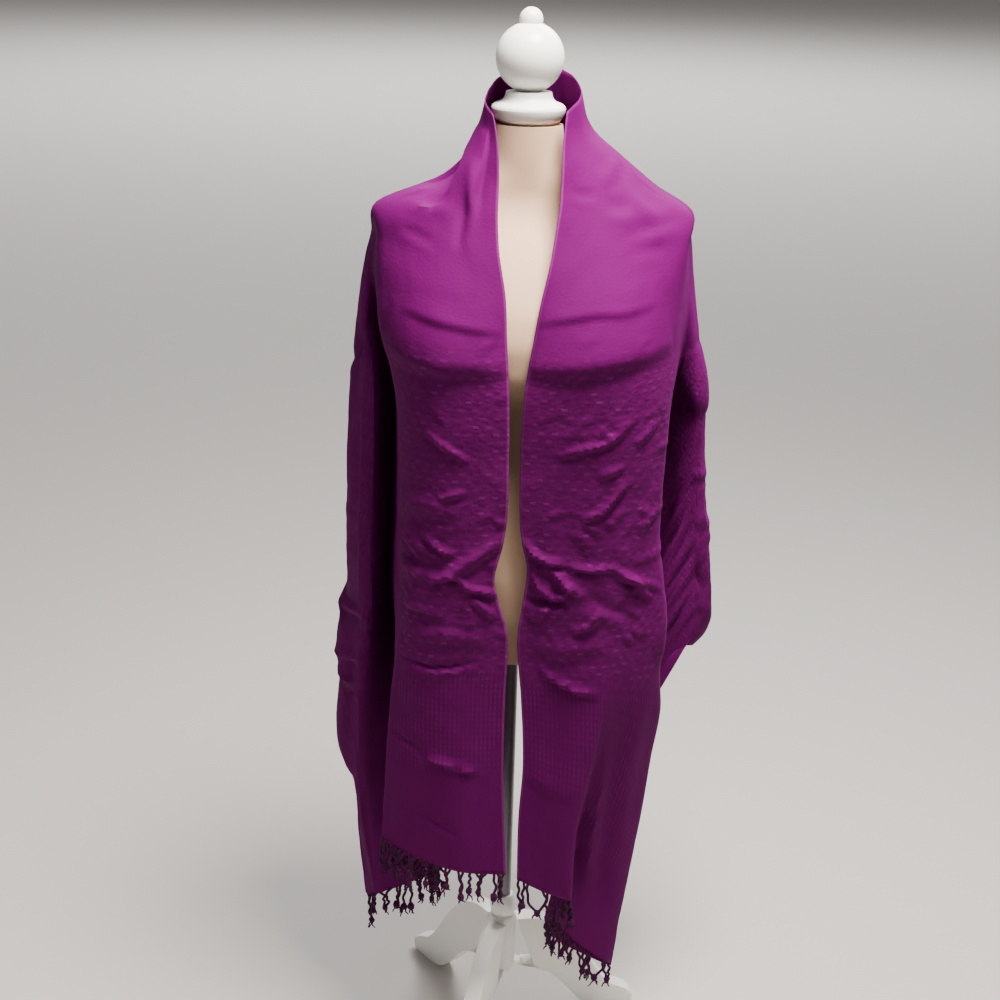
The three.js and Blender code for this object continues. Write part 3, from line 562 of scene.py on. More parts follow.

# %% [markdown]
# ### Creases
# Two kinds show on cloth like this: sharp packing folds that the parcel left, and soft crumples
# where the cloth gathers at the waist. Each one below is a course over the cloth with a width and
# a height. A ridge gets a shallow hollow under it, which is what makes it catch light above and
# throw shade below. They are given one by one, uneven as real ones are, and more of the same kind
# lie on the sides and the back.

# %% Crease courses
# For each region: width, height, then the course as (across, height) points. A negative height is
# a groove.
CREASES = {
    "left front": [
        (3.7, 3.6, [(-109, 905), (-93, 891), (-76, 880), (-58, 868)]),
        (4.0, 4.4, [(-110, 775), (-95, 762), (-83, 755), (-71, 750)]),
        (4.5, 4.3, [(-104, 717), (-87, 721), (-70, 727)]),
        (4.2, 5.4, [(-60, 712), (-40, 707), (-16, 699)]),
        (4.2, 4.6, [(-50, 697), (-35, 684), (-22, 667)]),
        (7.5, 5.4, [(-84, 722), (-56, 742), (-39, 755), (-14, 772)]),
        (4.2, 4.6, [(-54, 709), (-65, 722), (-80, 728)]),
        (4.2, -4.6, [(-134, 603), (-102, 601), (-72, 605), (-40, 612)]),
        (4.2, -2.4, [(-150, 499), (-126, 492), (-100, 479)]),
        (4.2, 4.9, [(-104, 476), (-70, 468), (-36, 457)]),
        (4.2, -2.4, [(-134, 391), (-100, 385), (-58, 364)]),
        (4.2, 3, [(-92, 820), (-78, 826), (-60, 831)]),
        (4.5, 4.1, [(-140, 771), (-124, 756), (-113, 741)]),
        (4.2, 3, [(-135, 676), (-108, 678), (-80, 673)]),
        (10, 3.5, [(-134, 800), (-104, 812), (-70, 806)]),
        (9, -4.1, [(-136, 742), (-112, 735), (-90, 740)]),
        (9, 3.5, [(-120, 640), (-80, 648), (-30, 640)]),
        (6, -4.5, [(-136, 1154), (-112, 1149), (-84, 1152)]),
        (6, -3.5, [(-66, 1158), (-71, 1131), (-75, 1102)]),
        (5.3, 2.4, [(-56, 1192), (-59, 1163), (-60, 1135)]),
        (4.2, -2.2, [(-146, 1118), (-122, 1112), (-98, 1104)]),
    ],
    "right front": [
        (4.2, 4.0, [(42, 876), (69, 887), (97, 894), (116, 906), (130, 923)]),
        (4.6, 6.6, [(3, 774), (20, 756), (38, 747), (57, 744)]),
        (3.9, 4.8, [(59, 743), (85, 738), (117, 738)]),
        (4.2, 4.2, [(112, 739), (141, 720), (159, 711), (176, 700)]),
        (4.2, 5.1, [(118, 727), (145, 716), (166, 690)]),
        (4.6, 6.0, [(18, 733), (29, 713), (46, 698)]),
        (4.6, 5.6, [(43, 698), (57, 704), (66, 719)]),
        (5.1, 5.9, [(42, 742), (56, 721), (79, 703)]),
        (5.3, -5.4, [(8, 698), (34, 693), (66, 691)]),
        (4.2, 4.1, [(14, 681), (28, 673), (43, 693)]),
        (4.6, 5.0, [(69, 657), (88, 664), (104, 681)]),
        (4.2, 5.1, [(74, 799), (99, 811), (128, 845)]),
        (4.2, 5.4, [(31, 605), (58, 588), (80, 578), (106, 571)]),
        (4.2, 4.3, [(145, 782), (154, 791), (165, 803)]),
        (4.2, 3.5, [(91, 853), (104, 858), (122, 865)]),
        (4.2, 3.2, [(132, 889), (147, 901), (158, 915)]),
        (9, -3.5, [(84, 700), (110, 690), (140, 676)]),
        (10, 3.2, [(20, 640), (60, 630), (110, 640)]),
        (7, -2.6, [(90, 1151), (108, 1148), (120, 1150)]),
        (8, -2.4, [(108, 1117), (132, 1124), (157, 1129), (182, 1134)]),
        (8, -1.6, [(113, 1103), (138, 1105), (164, 1104)]),
        (4.2, -2.2, [(50, 1166), (63, 1161), (80, 1161)]),
        (8, -2.6, [(122, 1178), (142, 1154), (160, 1142)]),
        (5.3, 2.7, [(84, 1172), (96, 1182), (108, 1200)]),
    ],
    "left shoulder": [
        (17, -5.5, [(-80, 1212), (-94, 1190), (-106, 1172), (-122, 1156)]),
        (15, 6.5, [(-46, 1228), (-52, 1205), (-58, 1177), (-66, 1143)]),
    ],
    "left side": [
        (5.3, 6.8, [(-232, 598), (-212, 616), (-190, 622)]),
        (5.3, 5.7, [(-232, 544), (-210, 554), (-186, 560)]),
        (4.9, 4.9, [(-230, 524), (-211, 516), (-190, 495)]),
        (4.2, -4.1, [(-214, 922), (-195, 957), (-179, 1000)]),
        (5.5, 4.6, [(-200, 1000), (-204, 893), (-206, 763), (-209, 636)]),
        (4.8, 3.5, [(-188, 990), (-189, 829), (-190, 702), (-192, 620)]),
        (5.5, 4.1, [(-196, 604), (-198, 482), (-198, 361), (-190, 240)]),
    ],
    "right side": [
        (5.3, -5.7, [(190, 768), (209, 718), (231, 678), (247, 646)]),
        (6, 4.9, [(190, 640), (210, 622), (232, 618)]),
        (5.3, 3.5, [(198, 860), (206, 800), (214, 752)]),
    ],
    "right fall": [
        (11, 5.5, [(122, 540), (116, 430), (111, 330), (108, 215)]),
        (9, -6.0, [(104, 480), (98, 410), (93, 340), (91, 250)]),
        (13, 4.0, [(160, 560), (152, 440), (148, 320), (144, 180)]),
    ],
    "back": [
        (17, 7.5, [(-150, 900), (-118, 840), (-80, 764), (-60, 650)]),
        (18, 8.0, [(152, 916), (120, 836), (92, 746), (74, 640)]),
        (15, -7.0, [(-14, 1010), (4, 880), (-8, 760), (2, 640)]),
        (13, 5.5, [(-40, 960), (-52, 860), (-34, 760), (-26, 660)]),
        (13, -5.0, [(46, 980), (56, 880), (40, 790), (34, 690)]),
        (11, 6.5, [(-134, 722), (-100, 704), (-60, 716), (-28, 740)]),
        (11, 7.0, [(44, 740), (84, 722), (128, 734), (148, 752)]),
        (9, 5.5, [(-60, 862), (-20, 846), (26, 856)]),
        (8, -5.0, [(-150, 640), (-90, 630), (-20, 640)]),
        (9, 5.0, [(30, 924), (80, 942), (134, 932)]),
        (14, 6.5, [(-122, 1130), (-88, 1096), (-66, 1040), (-60, 980)]),
        (14, 6.0, [(124, 1134), (90, 1096), (72, 1036), (62, 960)]),
        (14, 4.5, [(-128, 1118), (-80, 1084), (-6, 1064), (76, 1080), (130, 1120)]),
        (16, 4.5, [(-146, 1054), (-70, 1004), (8, 988), (84, 1006), (150, 1060)]),
        (10, -4.5, [(-96, 1120), (-64, 1070), (-44, 1010)]),
        (10, 5.5, [(-124, 800), (-90, 820), (-52, 814)]),
        (9, 6.0, [(6, 700), (34, 718), (64, 706)]),
        (10, 5.0, [(86, 836), (112, 812), (140, 820)]),
    ],
}
# Region, reach, drop, height, course. A ledge stands proud above its course and falls back
# under it.
LEDGES = [
    ("left front", 20, 5.0, 4.4, [(-137, 1034), (-91, 1024), (-55, 1019), (-22, 1014)]),
    ("right front", 20, 5.0, 4.4, [(12, 1025), (36, 1030), (79, 1037), (111, 1037), (152, 1045)]),
    ("left front", 60, 11, 10.0, [(-160, 984), (-110, 974), (-60, 973), (-12, 971)]),
    ("right front", 60, 11, 11.5, [(-4, 973), (60, 974), (110, 982), (174, 994)]),
    ("right front", 26, 3.6, 3.2, [(16, 448), (37, 441), (56, 431), (84, 424)]),
    ("right side", 46, 9.0, 10.0, [(180, 958), (197, 928), (210, 908), (226, 884)]),
    ("left shoulder", 30, 5.0, -9.0,
     [(-108, 1140), (-92, 1156), (-82, 1178), (-73, 1206), (-63, 1228)]),
    ("back", 20, 5.0, 4.2, [(-156, 1030), (-80, 1022), (0, 1027), (90, 1020), (164, 1032)]),
    ("back", 24, 5.0, 3.6, [(-156, 858), (-80, 850), (0, 854), (90, 846), (160, 856)]),
    ("back", 40, 6.0, 4.0, [(-150, 664), (-80, 652), (0, 656), (90, 650), (150, 660)]),
]
# The fold lines between which each region lies
REGIONS = {"left front": (-0.1, 4.4), "right front": (13.6, 18.1), "left side": (5.2, 7.9),
           "right side": (10.1, 12.8), "back": (7.6, 10.4), "right fall": (13.9, 15.1),
           "left shoulder": (0.8, 7.2)}
REGION_FADE = 0.3

# %% [markdown]
# The parcel and the gathering leave many short creases too, most of them round the waist. They are
# scattered at random: region, how many, the field they lie in, their greatest height and how large
# they are beside the small ones of the front.

# %% Short creases
SCATTERED = [
    ("left front", 30, (-140, -14), (640, 800), 1.9, 0.9),
    ("right front", 34, (8, 168), (620, 820), 2.1, 0.9),
    ("left front", 12, (-140, -14), (860, 1010), 1.3, 1.0),
    ("right front", 14, (8, 168), (870, 1010), 1.4, 1.0),
    ("left side", 9, (-214, -182), (420, 900), 2.5, 1.3),
    ("right side", 12, (190, 240), (600, 900), 2.5, 1.3),
    ("back", 44, (-150, 160), (620, 1010), 4.0, 2.0)]
scatter = random.Random(23)
small_creases = []
for region, count, across_range, height_range, most, scale in SCATTERED:
    for _ in range(count):
        start = (scatter.uniform(*across_range), scatter.uniform(*height_range))
        slope = math.radians(scatter.choice((-1, 1)) * scatter.triangular(2, 65, 22))
        length = scatter.uniform(12, 38) * scale
        bend = scatter.uniform(-0.3, 0.3)
        course = [start]
        for way in (slope, slope + bend):
            x, z = course[-1]
            course.append((x + 0.5 * length * math.cos(way), z + 0.5 * length * math.sin(way)))
        small_creases.append(
            (region, scatter.uniform(4, 5.6) * scale, scatter.uniform(0.35, 1) * most, course))
print("short creases:", len(small_creases))

# %% How a crease lifts the cloth
HOLLOW_SHARE = 0.5  # how deep the hollow under a ridge is beside the ridge's height
HOLLOW_REACH = 1.6  # how far under the ridge it lies, in widths
TAPER = 0.6  # how bluntly a crease ends


def against(course, x, z):
    """Distance from a course, the same with a sign (positive above it), and a taper to its ends."""
    course = np.array(course, float)
    legs = np.linalg.norm(np.diff(course, axis=0), axis=1)
    nearest = np.full(x.shape, 1e9)
    progress = np.zeros(x.shape)
    done = 0.0
    for start, end, length in zip(course[:-1], course[1:], legs):
        way = (end - start) / length
        t = np.clip((x - start[0]) * way[0] + (z - start[1]) * way[1], 0, length)
        gap = np.hypot(x - (start[0] + way[0] * t), z - (start[1] + way[1] * t))
        closer = gap < nearest
        nearest = np.where(closer, gap, nearest)
        progress = np.where(closer, (done + t) / legs.sum(), progress)
        done += length
    reach_x, reach_z = course[-1] - course[0]
    if abs(reach_x) >= abs(reach_z):
        row = course[np.argsort(course[:, 0])]
        above = z - np.interp(x, row[:, 0], row[:, 1])
    else:
        row = course[np.argsort(course[:, 1])]
        above = (np.interp(z, row[:, 1], row[:, 0]) - x) * math.copysign(1, reach_x * reach_z)
    taper = np.sin(np.pi * np.clip(progress, 0.001, 0.999)) ** TAPER
    return nearest, nearest * np.sign(above), taper


def crease_lift(x, z, width, height, course):
    """A rounded ridge along the course with a shallow hollow under it."""
    nearest, offset, taper = against(course, x, z)
    ridge = np.exp(-(nearest / width) ** 2)
    hollow = np.exp(-((offset + HOLLOW_REACH * width) / width) ** 2) * (nearest < 4 * width)
    return height * taper * (ridge - HOLLOW_SHARE * hollow)


def ledge_lift(x, z, reach, drop, height, course):
    """Cloth that stands proud above the course and is back in place just under it."""
    nearest, offset, taper = against(course, x, z)
    proud = ease(offset, -drop, drop) * np.exp(-np.maximum(offset, 0) / reach)
    return height * taper * proud * (nearest < 5 * reach)


def region_weight(region):
    """1 inside a region of the cloth, fading to 0 at its borders."""
    low, high = REGIONS[region]
    inside = ease(station, low, low + REGION_FADE) * (1 - ease(station, high - REGION_FADE, high))
    return inside[None, :]


lift = np.zeros((ROW_COUNT, COLUMN_COUNT))
placed = [(region, *crease) for region, group in CREASES.items() for crease in group]
net_x, net_z = net[:, :, 0], net[:, :, 2]
for region, *crease in placed + small_creases:
    lift += crease_lift(net_x, net_z, *crease) * region_weight(region)
for region, *ledge in LEDGES:
    lift += ledge_lift(net_x, net_z, *ledge) * region_weight(region)
print("creases:", len(placed), "lift", round(lift.min(), 2), "to", round(lift.max(), 2), "mm")

# %% [markdown]
# Between the creases cloth is never flat. Slow waves run down the hanging parts, and a light
# crumple lies all over. Noise that is read at the cloth's own map keeps both in the plane of the
# cloth.

# %% Slow waves and light crumple
# Size across and along in metres, and a seed
WAVES, CRUMPLE, FINE = (0.07, 0.32, 1.7), (0.026, 0.034, 5.1), (0.011, 0.013, 9.4)


def noise_field(scale_across, scale_along, seed):
    """Smooth noise over the cloth, between about -1 and 1. The scales are sizes in metres."""
    field = np.zeros((ROW_COUNT, COLUMN_COUNT))
    for r in range(ROW_COUNT):
        for c in range(COLUMN_COUNT):
            spot = (weave_across[r, c] / scale_across, weave_along[r, c] / scale_along, seed)
            field[r, c] = noise.noise(spot)
    return field


waves, crumple, fine = noise_field(*WAVES), noise_field(*CRUMPLE), noise_field(*FINE)
hanging = 1 - ease(net_z, 700, 1060)
waist = np.exp(-((net_z - 720) / 110) ** 2)
lift += (waves * (0.8 + 3.0 * hanging) + crumple * (0.7 + 1.1 * waist)
         + fine * (0.25 + 0.35 * waist))

# %% Put the lift on the net
across_way = np.gradient(net, axis=1)
down_way = np.gradient(net, axis=0)
outward = np.cross(across_way, down_way)
outward /= np.linalg.norm(outward, axis=2)[:, :, None]
shaped = net + outward * lift[:, :, None]

# %% [markdown]
# The cloth itself starts as a flat grid, one square per cell of the net. Each point is moved to
# its place in the drape, each corner of a square gets its place on the cloth's own map, and a
# Solidify modifier gives the single sheet its thickness.

# %% Build the scarf
CLOTH_THICKNESS = 1.2 * MM


def build_scarf():
    """A flat grid moved to the drape, with the cloth's own map."""
    wide, high = COLUMN_COUNT - 1, ROW_COUNT - 1
    places = place(shaped)
    shape = bmesh.new()
    bmesh.ops.create_grid(shape, x_segments=wide, y_segments=high, size=0.5)
    where = {vert: (round((0.5 - vert.co.y) * high), round((vert.co.x + 0.5) * wide))
             for vert in shape.verts}
    for vert, cell in where.items():
        vert.co = places[cell]
    weave = shape.loops.layers.uv.new("weave")
    for face in shape.faces:
        for loop in face.loops:
            cell = where[loop.vert]
            loop[weave].uv = (weave_across[cell], weave_along[cell])
    bmesh.ops.recalc_face_normals(shape, faces=shape.faces[:])
    made = new_object("scarf", shape)
    solid = made.modifiers.new("thickness", "SOLIDIFY")
    solid.thickness = CLOTH_THICKNESS
    solid.offset = 0.0
    made.data.materials.append(wool_and_viscose)
    return made


scarf = build_scarf()
print("scarf faces:", len(scarf.data.polygons))

# %% [markdown]
# ### The fringe
# At each end the warp yarns are left long, twisted into cords and knotted together in ones, twos
# and threes. Under each knot a few loose ends stick out, and two cords that start far apart leave
# a loop. A cord is a small circle extruded along a path. No two bundles are tied alike, so a
# seeded draw picks the tie.

# %% Hem points
hem_left = net[-1, :column_at(line_number("side", "left")) + 1]
hem_right = net[-1, column_at(line_number("fold", "right")):][::-1]

# %% Cords
TASSEL_SIDES = 6
STRAND_STEPS = 12
YARN_RADIUS = 1.9
LOOSE_YARN = (1.3, 0.75)  # radius at the knot and at the tip
KINKS, LOOSE_KINKS = 1.6, 0.8
KNOT_RADIUS = 4.4
LUMPS_PER_METRE, LUMP_SHARE = 420, 0.35
rng = random.Random(11)


def cord_along(shape, path, radii):
    """Extrudes a small circle along a path, turning and scaling each new ring to fit."""
    path = [Vector(p) for p in path]
    last = len(path) - 1
    ways = [(path[min(i + 1, last)] - path[max(i - 1, 0)]).normalized() for i in range(last + 1)]
    upright = Vector((0, 0, 1)).rotation_difference(ways[0]).to_matrix().to_4x4()
    ring = bmesh.ops.create_circle(shape, cap_ends=True, segments=TASSEL_SIDES, radius=radii[0],
                                   matrix=Matrix.Translation(path[0]) @ upright)["verts"]
    face = ring[0].link_faces[0]
    for i in range(1, last + 1):
        grown = bmesh.ops.extrude_face_region(shape, geom=[face])["geom"]
        face = [g for g in grown if isinstance(g, bmesh.types.BMFace)][0]
        bend = ways[i - 1].rotation_difference(ways[i]).to_matrix().to_4x4()
        step = (Matrix.Translation(path[i]) @ bend @ Matrix.Scale(radii[i] / radii[i - 1], 4)
                @ Matrix.Translation(-path[i - 1]))
        bmesh.ops.transform(shape, matrix=step, verts=face.verts[:])


def strand(shape, start, end, bow, kinks, radii):
    """A cord from start to end that bows to one side and kinks on its way."""
    start, end = np.array(start), np.array(end)
    turns = rng.uniform(1.5, 3.2)
    phase = rng.uniform(0, 6.3)
    path, thickness = [], []
    for k in range(STRAND_STEPS + 1):
        t = k / STRAND_STEPS
        loose = math.sin(math.pi * t)
        swing = kinks * math.sin(turns * 2 * math.pi * t + phase) * loose
        spot = start + (end - start) * t + np.array([bow * loose + swing, 0.7 * swing, 0])
        path.append(place(spot))
        thickness.append((radii[0] + (radii[1] - radii[0]) * t) * MM)
    cord_along(shape, path, thickness)


def knot(shape, middle):
    """A knot is a lumpy ball, a little longer than it is wide."""
    size = rng.uniform(0.85, 1.15) * KNOT_RADIUS * MM
    turns = [Matrix.Rotation(rng.uniform(0, 3), 4, axis) for axis in "XY"]
    stretch = Matrix.Diagonal((1.0, 0.85, 1.25, 1.0))
    made = bmesh.ops.create_icosphere(shape, subdivisions=2, radius=size,
                                      matrix=Matrix.Translation(place(middle)) @ stretch
                                      @ turns[0] @ turns[1])
    for vert in made["verts"]:
        lump = noise.noise(vert.co * LUMPS_PER_METRE)
        vert.co += (vert.co - Vector(place(middle))) * LUMP_SHARE * lump


def frayed_end(shape, middle):
    """The loose yarn ends under a knot."""
    for _ in range(rng.choice((2, 3, 3))):
        reach = rng.uniform(8, 15)
        end = (middle[0] + rng.uniform(-7, 7), middle[1] + rng.uniform(-5, 5), middle[2] - reach)
        strand(shape, middle, end, rng.uniform(-2, 2), LOOSE_KINKS, LOOSE_YARN)


# %% Fringe
# How the bundles are tied: share of the bundles, strands, their spacing, bow of the outer ones
TIES = [(0.18, 1, 8, 1.5), (0.42, 2, 8, 2.0), (0.24, 3, 7, 3.0), (0.16, 2, 20, 7.0)]
IN_HEM = np.array([0, 0, 2])  # each cord starts this far up inside the hem


def build_fringe(name, hem):
    """Ties bundle after bundle along a hem."""
    shape = bmesh.new()
    run = np.concatenate([[0], np.cumsum(np.linalg.norm(np.diff(hem, axis=0), axis=1))])

    def on_hem(distance):
        return np.array([np.interp(distance, run, hem[:, axis]) for axis in range(3)])

    at = 3.0
    while at < run[-1] - 3:
        _, strands, spacing, bow = rng.choices(TIES, weights=[tie[0] for tie in TIES])[0]
        starts = [at + i * spacing for i in range(strands) if at + i * spacing < run[-1] - 1]
        middle = on_hem(sum(starts) / len(starts))
        tie_at = middle + np.array([rng.uniform(-4, 4), rng.uniform(-4, 4), -rng.uniform(26, 40)])
        for i, start in enumerate(starts):
            outward_bow = (i - (len(starts) - 1) / 2) * 2 * bow / max(1, len(starts) - 1)
            strand(shape, on_hem(start) + IN_HEM, tie_at, outward_bow + rng.uniform(-2, 2),
                   KINKS, (YARN_RADIUS, YARN_RADIUS))
        knot(shape, tie_at)
        frayed_end(shape, tie_at)
        at = starts[-1] + rng.uniform(5, 9)
    bmesh.ops.recalc_face_normals(shape, faces=shape.faces[:])
    made = new_object(name, shape)
    made.data.materials.append(twisted_yarn_and_painted_shade)
    return made


fringe_left = build_fringe("fringe_left", hem_left)
fringe_right = build_fringe("fringe_right", hem_right)
print("fringe faces:", len(fringe_left.data.polygons), len(fringe_right.data.polygons))

# %% [markdown]
# ## The dress form
# The torso is a moulded shell under a stretched cover. Its outline is a stack of rounded sections,
# each wider than deep, so it is made by extruding one ring upward and moving each new ring into
# its section.

# %% Torso
TORSO_SIDES = 96
# Height, half width, reach to the front and to the back, and how boxy the section is
SECTIONS = [
    (590, 135, 95, 92, 2.3), (600, 138, 102, 97, 2.3), (650, 144, 113, 102, 2.3),
    (710, 143, 116, 100, 2.3), (770, 133, 106, 90, 2.3), (820, 120, 96, 78, 2.2),
    (860, 114, 90, 72, 2.2), (910, 118, 96, 74, 2.2), (955, 128, 130, 80, 2.2),
    (1000, 136, 132.6, 86, 2.2), (1035, 142, 123, 90, 2.2), (1070, 150, 100, 90, 2.3),
    (1100, 162, 76, 84, 2.4), (1118, 169, 58, 74, 2.4), (1130, 166.5, 48, 64, 2.4),
    (1142, 148, 43, 56, 2.3), (1154, 116, 40, 52, 2.2), (1166, 80, 40, 50, 2.1),
    (1180, 54, 39, 44, 2), (1194, 45, 39, 41, 2), (1232, 40, 40, 40, 2)]
COVER_EASE = 2.5  # mm by which the torso keeps clear of the hollows of the creases above it


def section_point(index, height, half, front, back, square):
    """A point of one section. At square 2 it is an ellipse, and it is boxier above that."""
    angle = 2 * math.pi * index / TORSO_SIDES
    x, y = (math.copysign(abs(v) ** (2 / square), v) for v in (math.cos(angle), math.sin(angle)))
    return (half * x, (front if y < 0 else back) * y, height)


def torso_rows():
    """Sections between those of the table, evened out so that no ring shows."""
    table = np.array(SECTIONS, float)
    heights = np.concatenate([[590, 593, 598], np.arange(606, 1232, 6), [1232]])
    smooth = np.column_stack(
        [heights] + [np.interp(heights, table[:, 0], table[:, k]) for k in range(1, 5)])
    for _ in range(3):
        smooth[1:-1, 1:] = (smooth[:-2, 1:] + 2 * smooth[1:-1, 1:] + smooth[2:, 1:]) / 4
    smooth[:, 1:4] -= COVER_EASE * (1 - ease(smooth[:, 0], 1150, 1200))[:, None]
    return smooth


def build_torso():
    """One ring, extruded up and moved into section after section."""
    shape = bmesh.new()
    rows = torso_rows()
    made = bmesh.ops.create_circle(shape, cap_ends=True, segments=TORSO_SIDES, radius=1.0)
    ring = list(made["verts"])
    ring.sort(key=lambda v: math.atan2(v.co.y, v.co.x) % (2 * math.pi))
    for i, vert in enumerate(ring):
        vert.co = place(section_point(i, *rows[0]))
    for row in rows[1:]:
        old = {v: i for i, v in enumerate(ring)}
        edges = dict.fromkeys(e for v in ring for e in v.link_edges if e.other_vert(v) in old)
        grown = bmesh.ops.extrude_edge_only(shape, edges=list(edges))
        fresh = [g for g in grown["geom"] if isinstance(g, bmesh.types.BMVert)]
        following = [None] * TORSO_SIDES
        for vert in fresh:
            below = [e.other_vert(vert) for e in vert.link_edges if e.other_vert(vert) in old][0]
            following[old[below]] = vert
        ring = following
        for i, vert in enumerate(ring):
            vert.co = place(section_point(i, *row))
    bmesh.ops.contextual_create(shape, geom=ring)
    bmesh.ops.recalc_face_normals(shape, faces=shape.faces[:])
    return new_object("torso", shape)


torso = build_torso()
torso.data.materials.append(jersey_cover)

# %% [markdown]
# Cap, finial, pole and hub are turned on a lathe, and the spin operator is a lathe: it sweeps a
# profile once round the pole's axis.

# %% Turned pieces
LATHE_STEPS = 64
SOFT_ARRIS = 0.6  # mm
BALL_RADIUS, BALL_HEIGHT, BALL_FOOT, KNOB_NECK = 39, 1305, 1268.3, 9.5


def arc(radius, centre, start, end, steps):
    """Points of a circle's arc beside the axis, between two angles in degrees."""
    angles = np.radians(np.linspace(start, end, steps + 1))
    return [(radius * math.cos(a), centre + radius * math.sin(a)) for a in angles]


def turned(name, profile, material):
    """Spins a profile of (radius, height) in millimetres round the pole's axis."""
    shape = bmesh.new()
    verts = [shape.verts.new(place((r, 0, z))) for r, z in profile]
    edges = [shape.edges.new(pair) for pair in zip(verts[:-1], verts[1:])]
    bmesh.ops.spin(shape, geom=verts + edges, cent=place((0, 0, 0)), axis=(0, 0, 1),
                   angle=2 * math.pi, steps=LATHE_STEPS, use_merge=True)
    bmesh.ops.remove_doubles(shape, verts=shape.verts[:], dist=1e-6)
    bmesh.ops.recalc_face_normals(shape, faces=shape.faces[:])
    made = new_object(name, shape)
    made.data.materials.append(material)
    bevel = made.modifiers.new("soft arrises", "BEVEL")
    bevel.width = SOFT_ARRIS * MM
    bevel.segments = 2
    bevel.limit_method = "ANGLE"
    bevel.angle_limit = math.radians(28)
    return made


cap = turned("neck_cap_turned", [
    (0, 1232.3), (30, 1232.3), (37, 1236), (40, 1240), (42, 1244), (43, 1249), (42, 1252),
    (39, 1254.5), (35, 1256), (31, 1257.5), (29, 1259.5), (27.5, 1262), (27, 1264), (26, 1268),
    (0, 1268)], satin_paint)
ball_start = -math.degrees(math.asin((BALL_HEIGHT - BALL_FOOT) / BALL_RADIUS))
ball_end = math.degrees(math.acos(KNOB_NECK / BALL_RADIUS))
finial = turned("ball_finial", [(0, BALL_FOOT)]
                + arc(BALL_RADIUS, BALL_HEIGHT, ball_start, ball_end, 26)
                + arc(13.5, 1346, -38, 82, 12) + [(0, 1359.5)], satin_paint)
# the pole's grey finish is in part painted shade
pole = turned("pole_tube", [(0, 196.3), (9.5, 196.3), (9.5, 589.7), (0, 589.7)], grey_tube_and_painted_shade)
hub = turned("turned_hub", [
    (0, 72), (10, 72), (14, 74), (16, 77), (17.4, 81), (18, 86), (18, 162), (17, 164.5),
    (15, 166), (15, 170), (17, 172), (18, 176), (17.6, 184), (16, 190), (13, 196), (0, 196)],
    satin_paint)

# %% [markdown]
# Each leg is sawn from board: the outline is drawn flat, extruded to the board's thickness and
# turned to its place round the hub. The arrises are rounded with a bevel before it is painted.

# %% Legs
LEG_THICKNESS = 22
LEG_ROOT, LEG_REACH = 18.3, 190
FIRST_LEG = 250  # degrees round the pole; the others follow at thirds of a turn


def bezier(start, first, second, end, steps):
    """Points of a cubic curve after its start."""
    t = np.linspace(0, 1, steps + 1)[1:, None]
    p = [np.array(q, float) for q in (start, first, second, end)]
    curve = ((1 - t) ** 3 * p[0] + 3 * (1 - t) ** 2 * t * p[1]
             + 3 * (1 - t) * t**2 * p[2] + t**3 * p[3])
    return [tuple(q) for q in curve]


def leg_outline():
    root, reach = LEG_ROOT, LEG_REACH
    outline = [(root, 84)]
    outline += bezier(outline[-1], (root + 52, 90), (reach - 96, 24), (reach - 66, 6), 16)
    outline += bezier(outline[-1], (reach - 60.7, 2), (reach - 54, 0), (reach - 46, 0), 5)
    outline += [(reach - 10, 0)]
    outline += bezier(outline[-1], (reach - 3.3, 0.7), (reach, 4.7), (reach, 12), 5)
    outline += bezier(outline[-1], (reach - 1.3, 20.7), (reach - 7.3, 26.3), (reach - 18, 29), 5)
    outline += bezier(outline[-1], (reach - 62, 40), (reach - 78, 148), (root + 22, 158), 16)
    return outline + [(root, 158)]


def build_leg(name, angle):
    shape = bmesh.new()
    verts = [shape.verts.new((x, -LEG_THICKNESS / 2, z)) for x, z in leg_outline()]
    board = bmesh.ops.contextual_create(shape, geom=verts)["faces"]
    grown = bmesh.ops.extrude_face_region(shape, geom=board)
    fresh = [g for g in grown["geom"] if isinstance(g, bmesh.types.BMVert)]
    bmesh.ops.translate(shape, verts=fresh, vec=(0, LEG_THICKNESS, 0))
    bmesh.ops.rotate(shape, verts=shape.verts[:], cent=(0, 0, 0),
                     matrix=Matrix.Rotation(math.radians(angle), 3, "Z"))
    for vert in shape.verts:
        vert.co = place(vert.co)
    bmesh.ops.recalc_face_normals(shape, faces=shape.faces[:])
    made = new_object(name, shape)
    made.data.materials.append(satin_paint)
    bevel = made.modifiers.new("rounded arrises", "BEVEL")
    bevel.width = 1.6 * MM
    bevel.segments = 3
    bevel.limit_method = "ANGLE"
    bevel.angle_limit = math.radians(40)
    bevel.harden_normals = True
    return made


legs = [build_leg(f"leg_{i + 1}", FIRST_LEG + 120 * i) for i in range(3)]
print("legs:", len(legs), "faces each:", len(legs[0].data.polygons))

# %% [markdown]
# ## Put each piece on the frame
# Every piece rides on the one body of this part, and the plain solids that it stands for are
# hidden.

CLOTH_NODES = ["scarf_collar", "scarf_back"] + [
    f"scarf_{part}_{half}"
    for part in ("shoulder", "front", "side", "fall") for half in ("left", "right")]


def declare(piece, slot, *nodes):
    """Puts a piece on the part's body and hides the plain solids that it stands for. The slot is
    not used.
    """
    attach(piece, "root")
    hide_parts(*nodes)


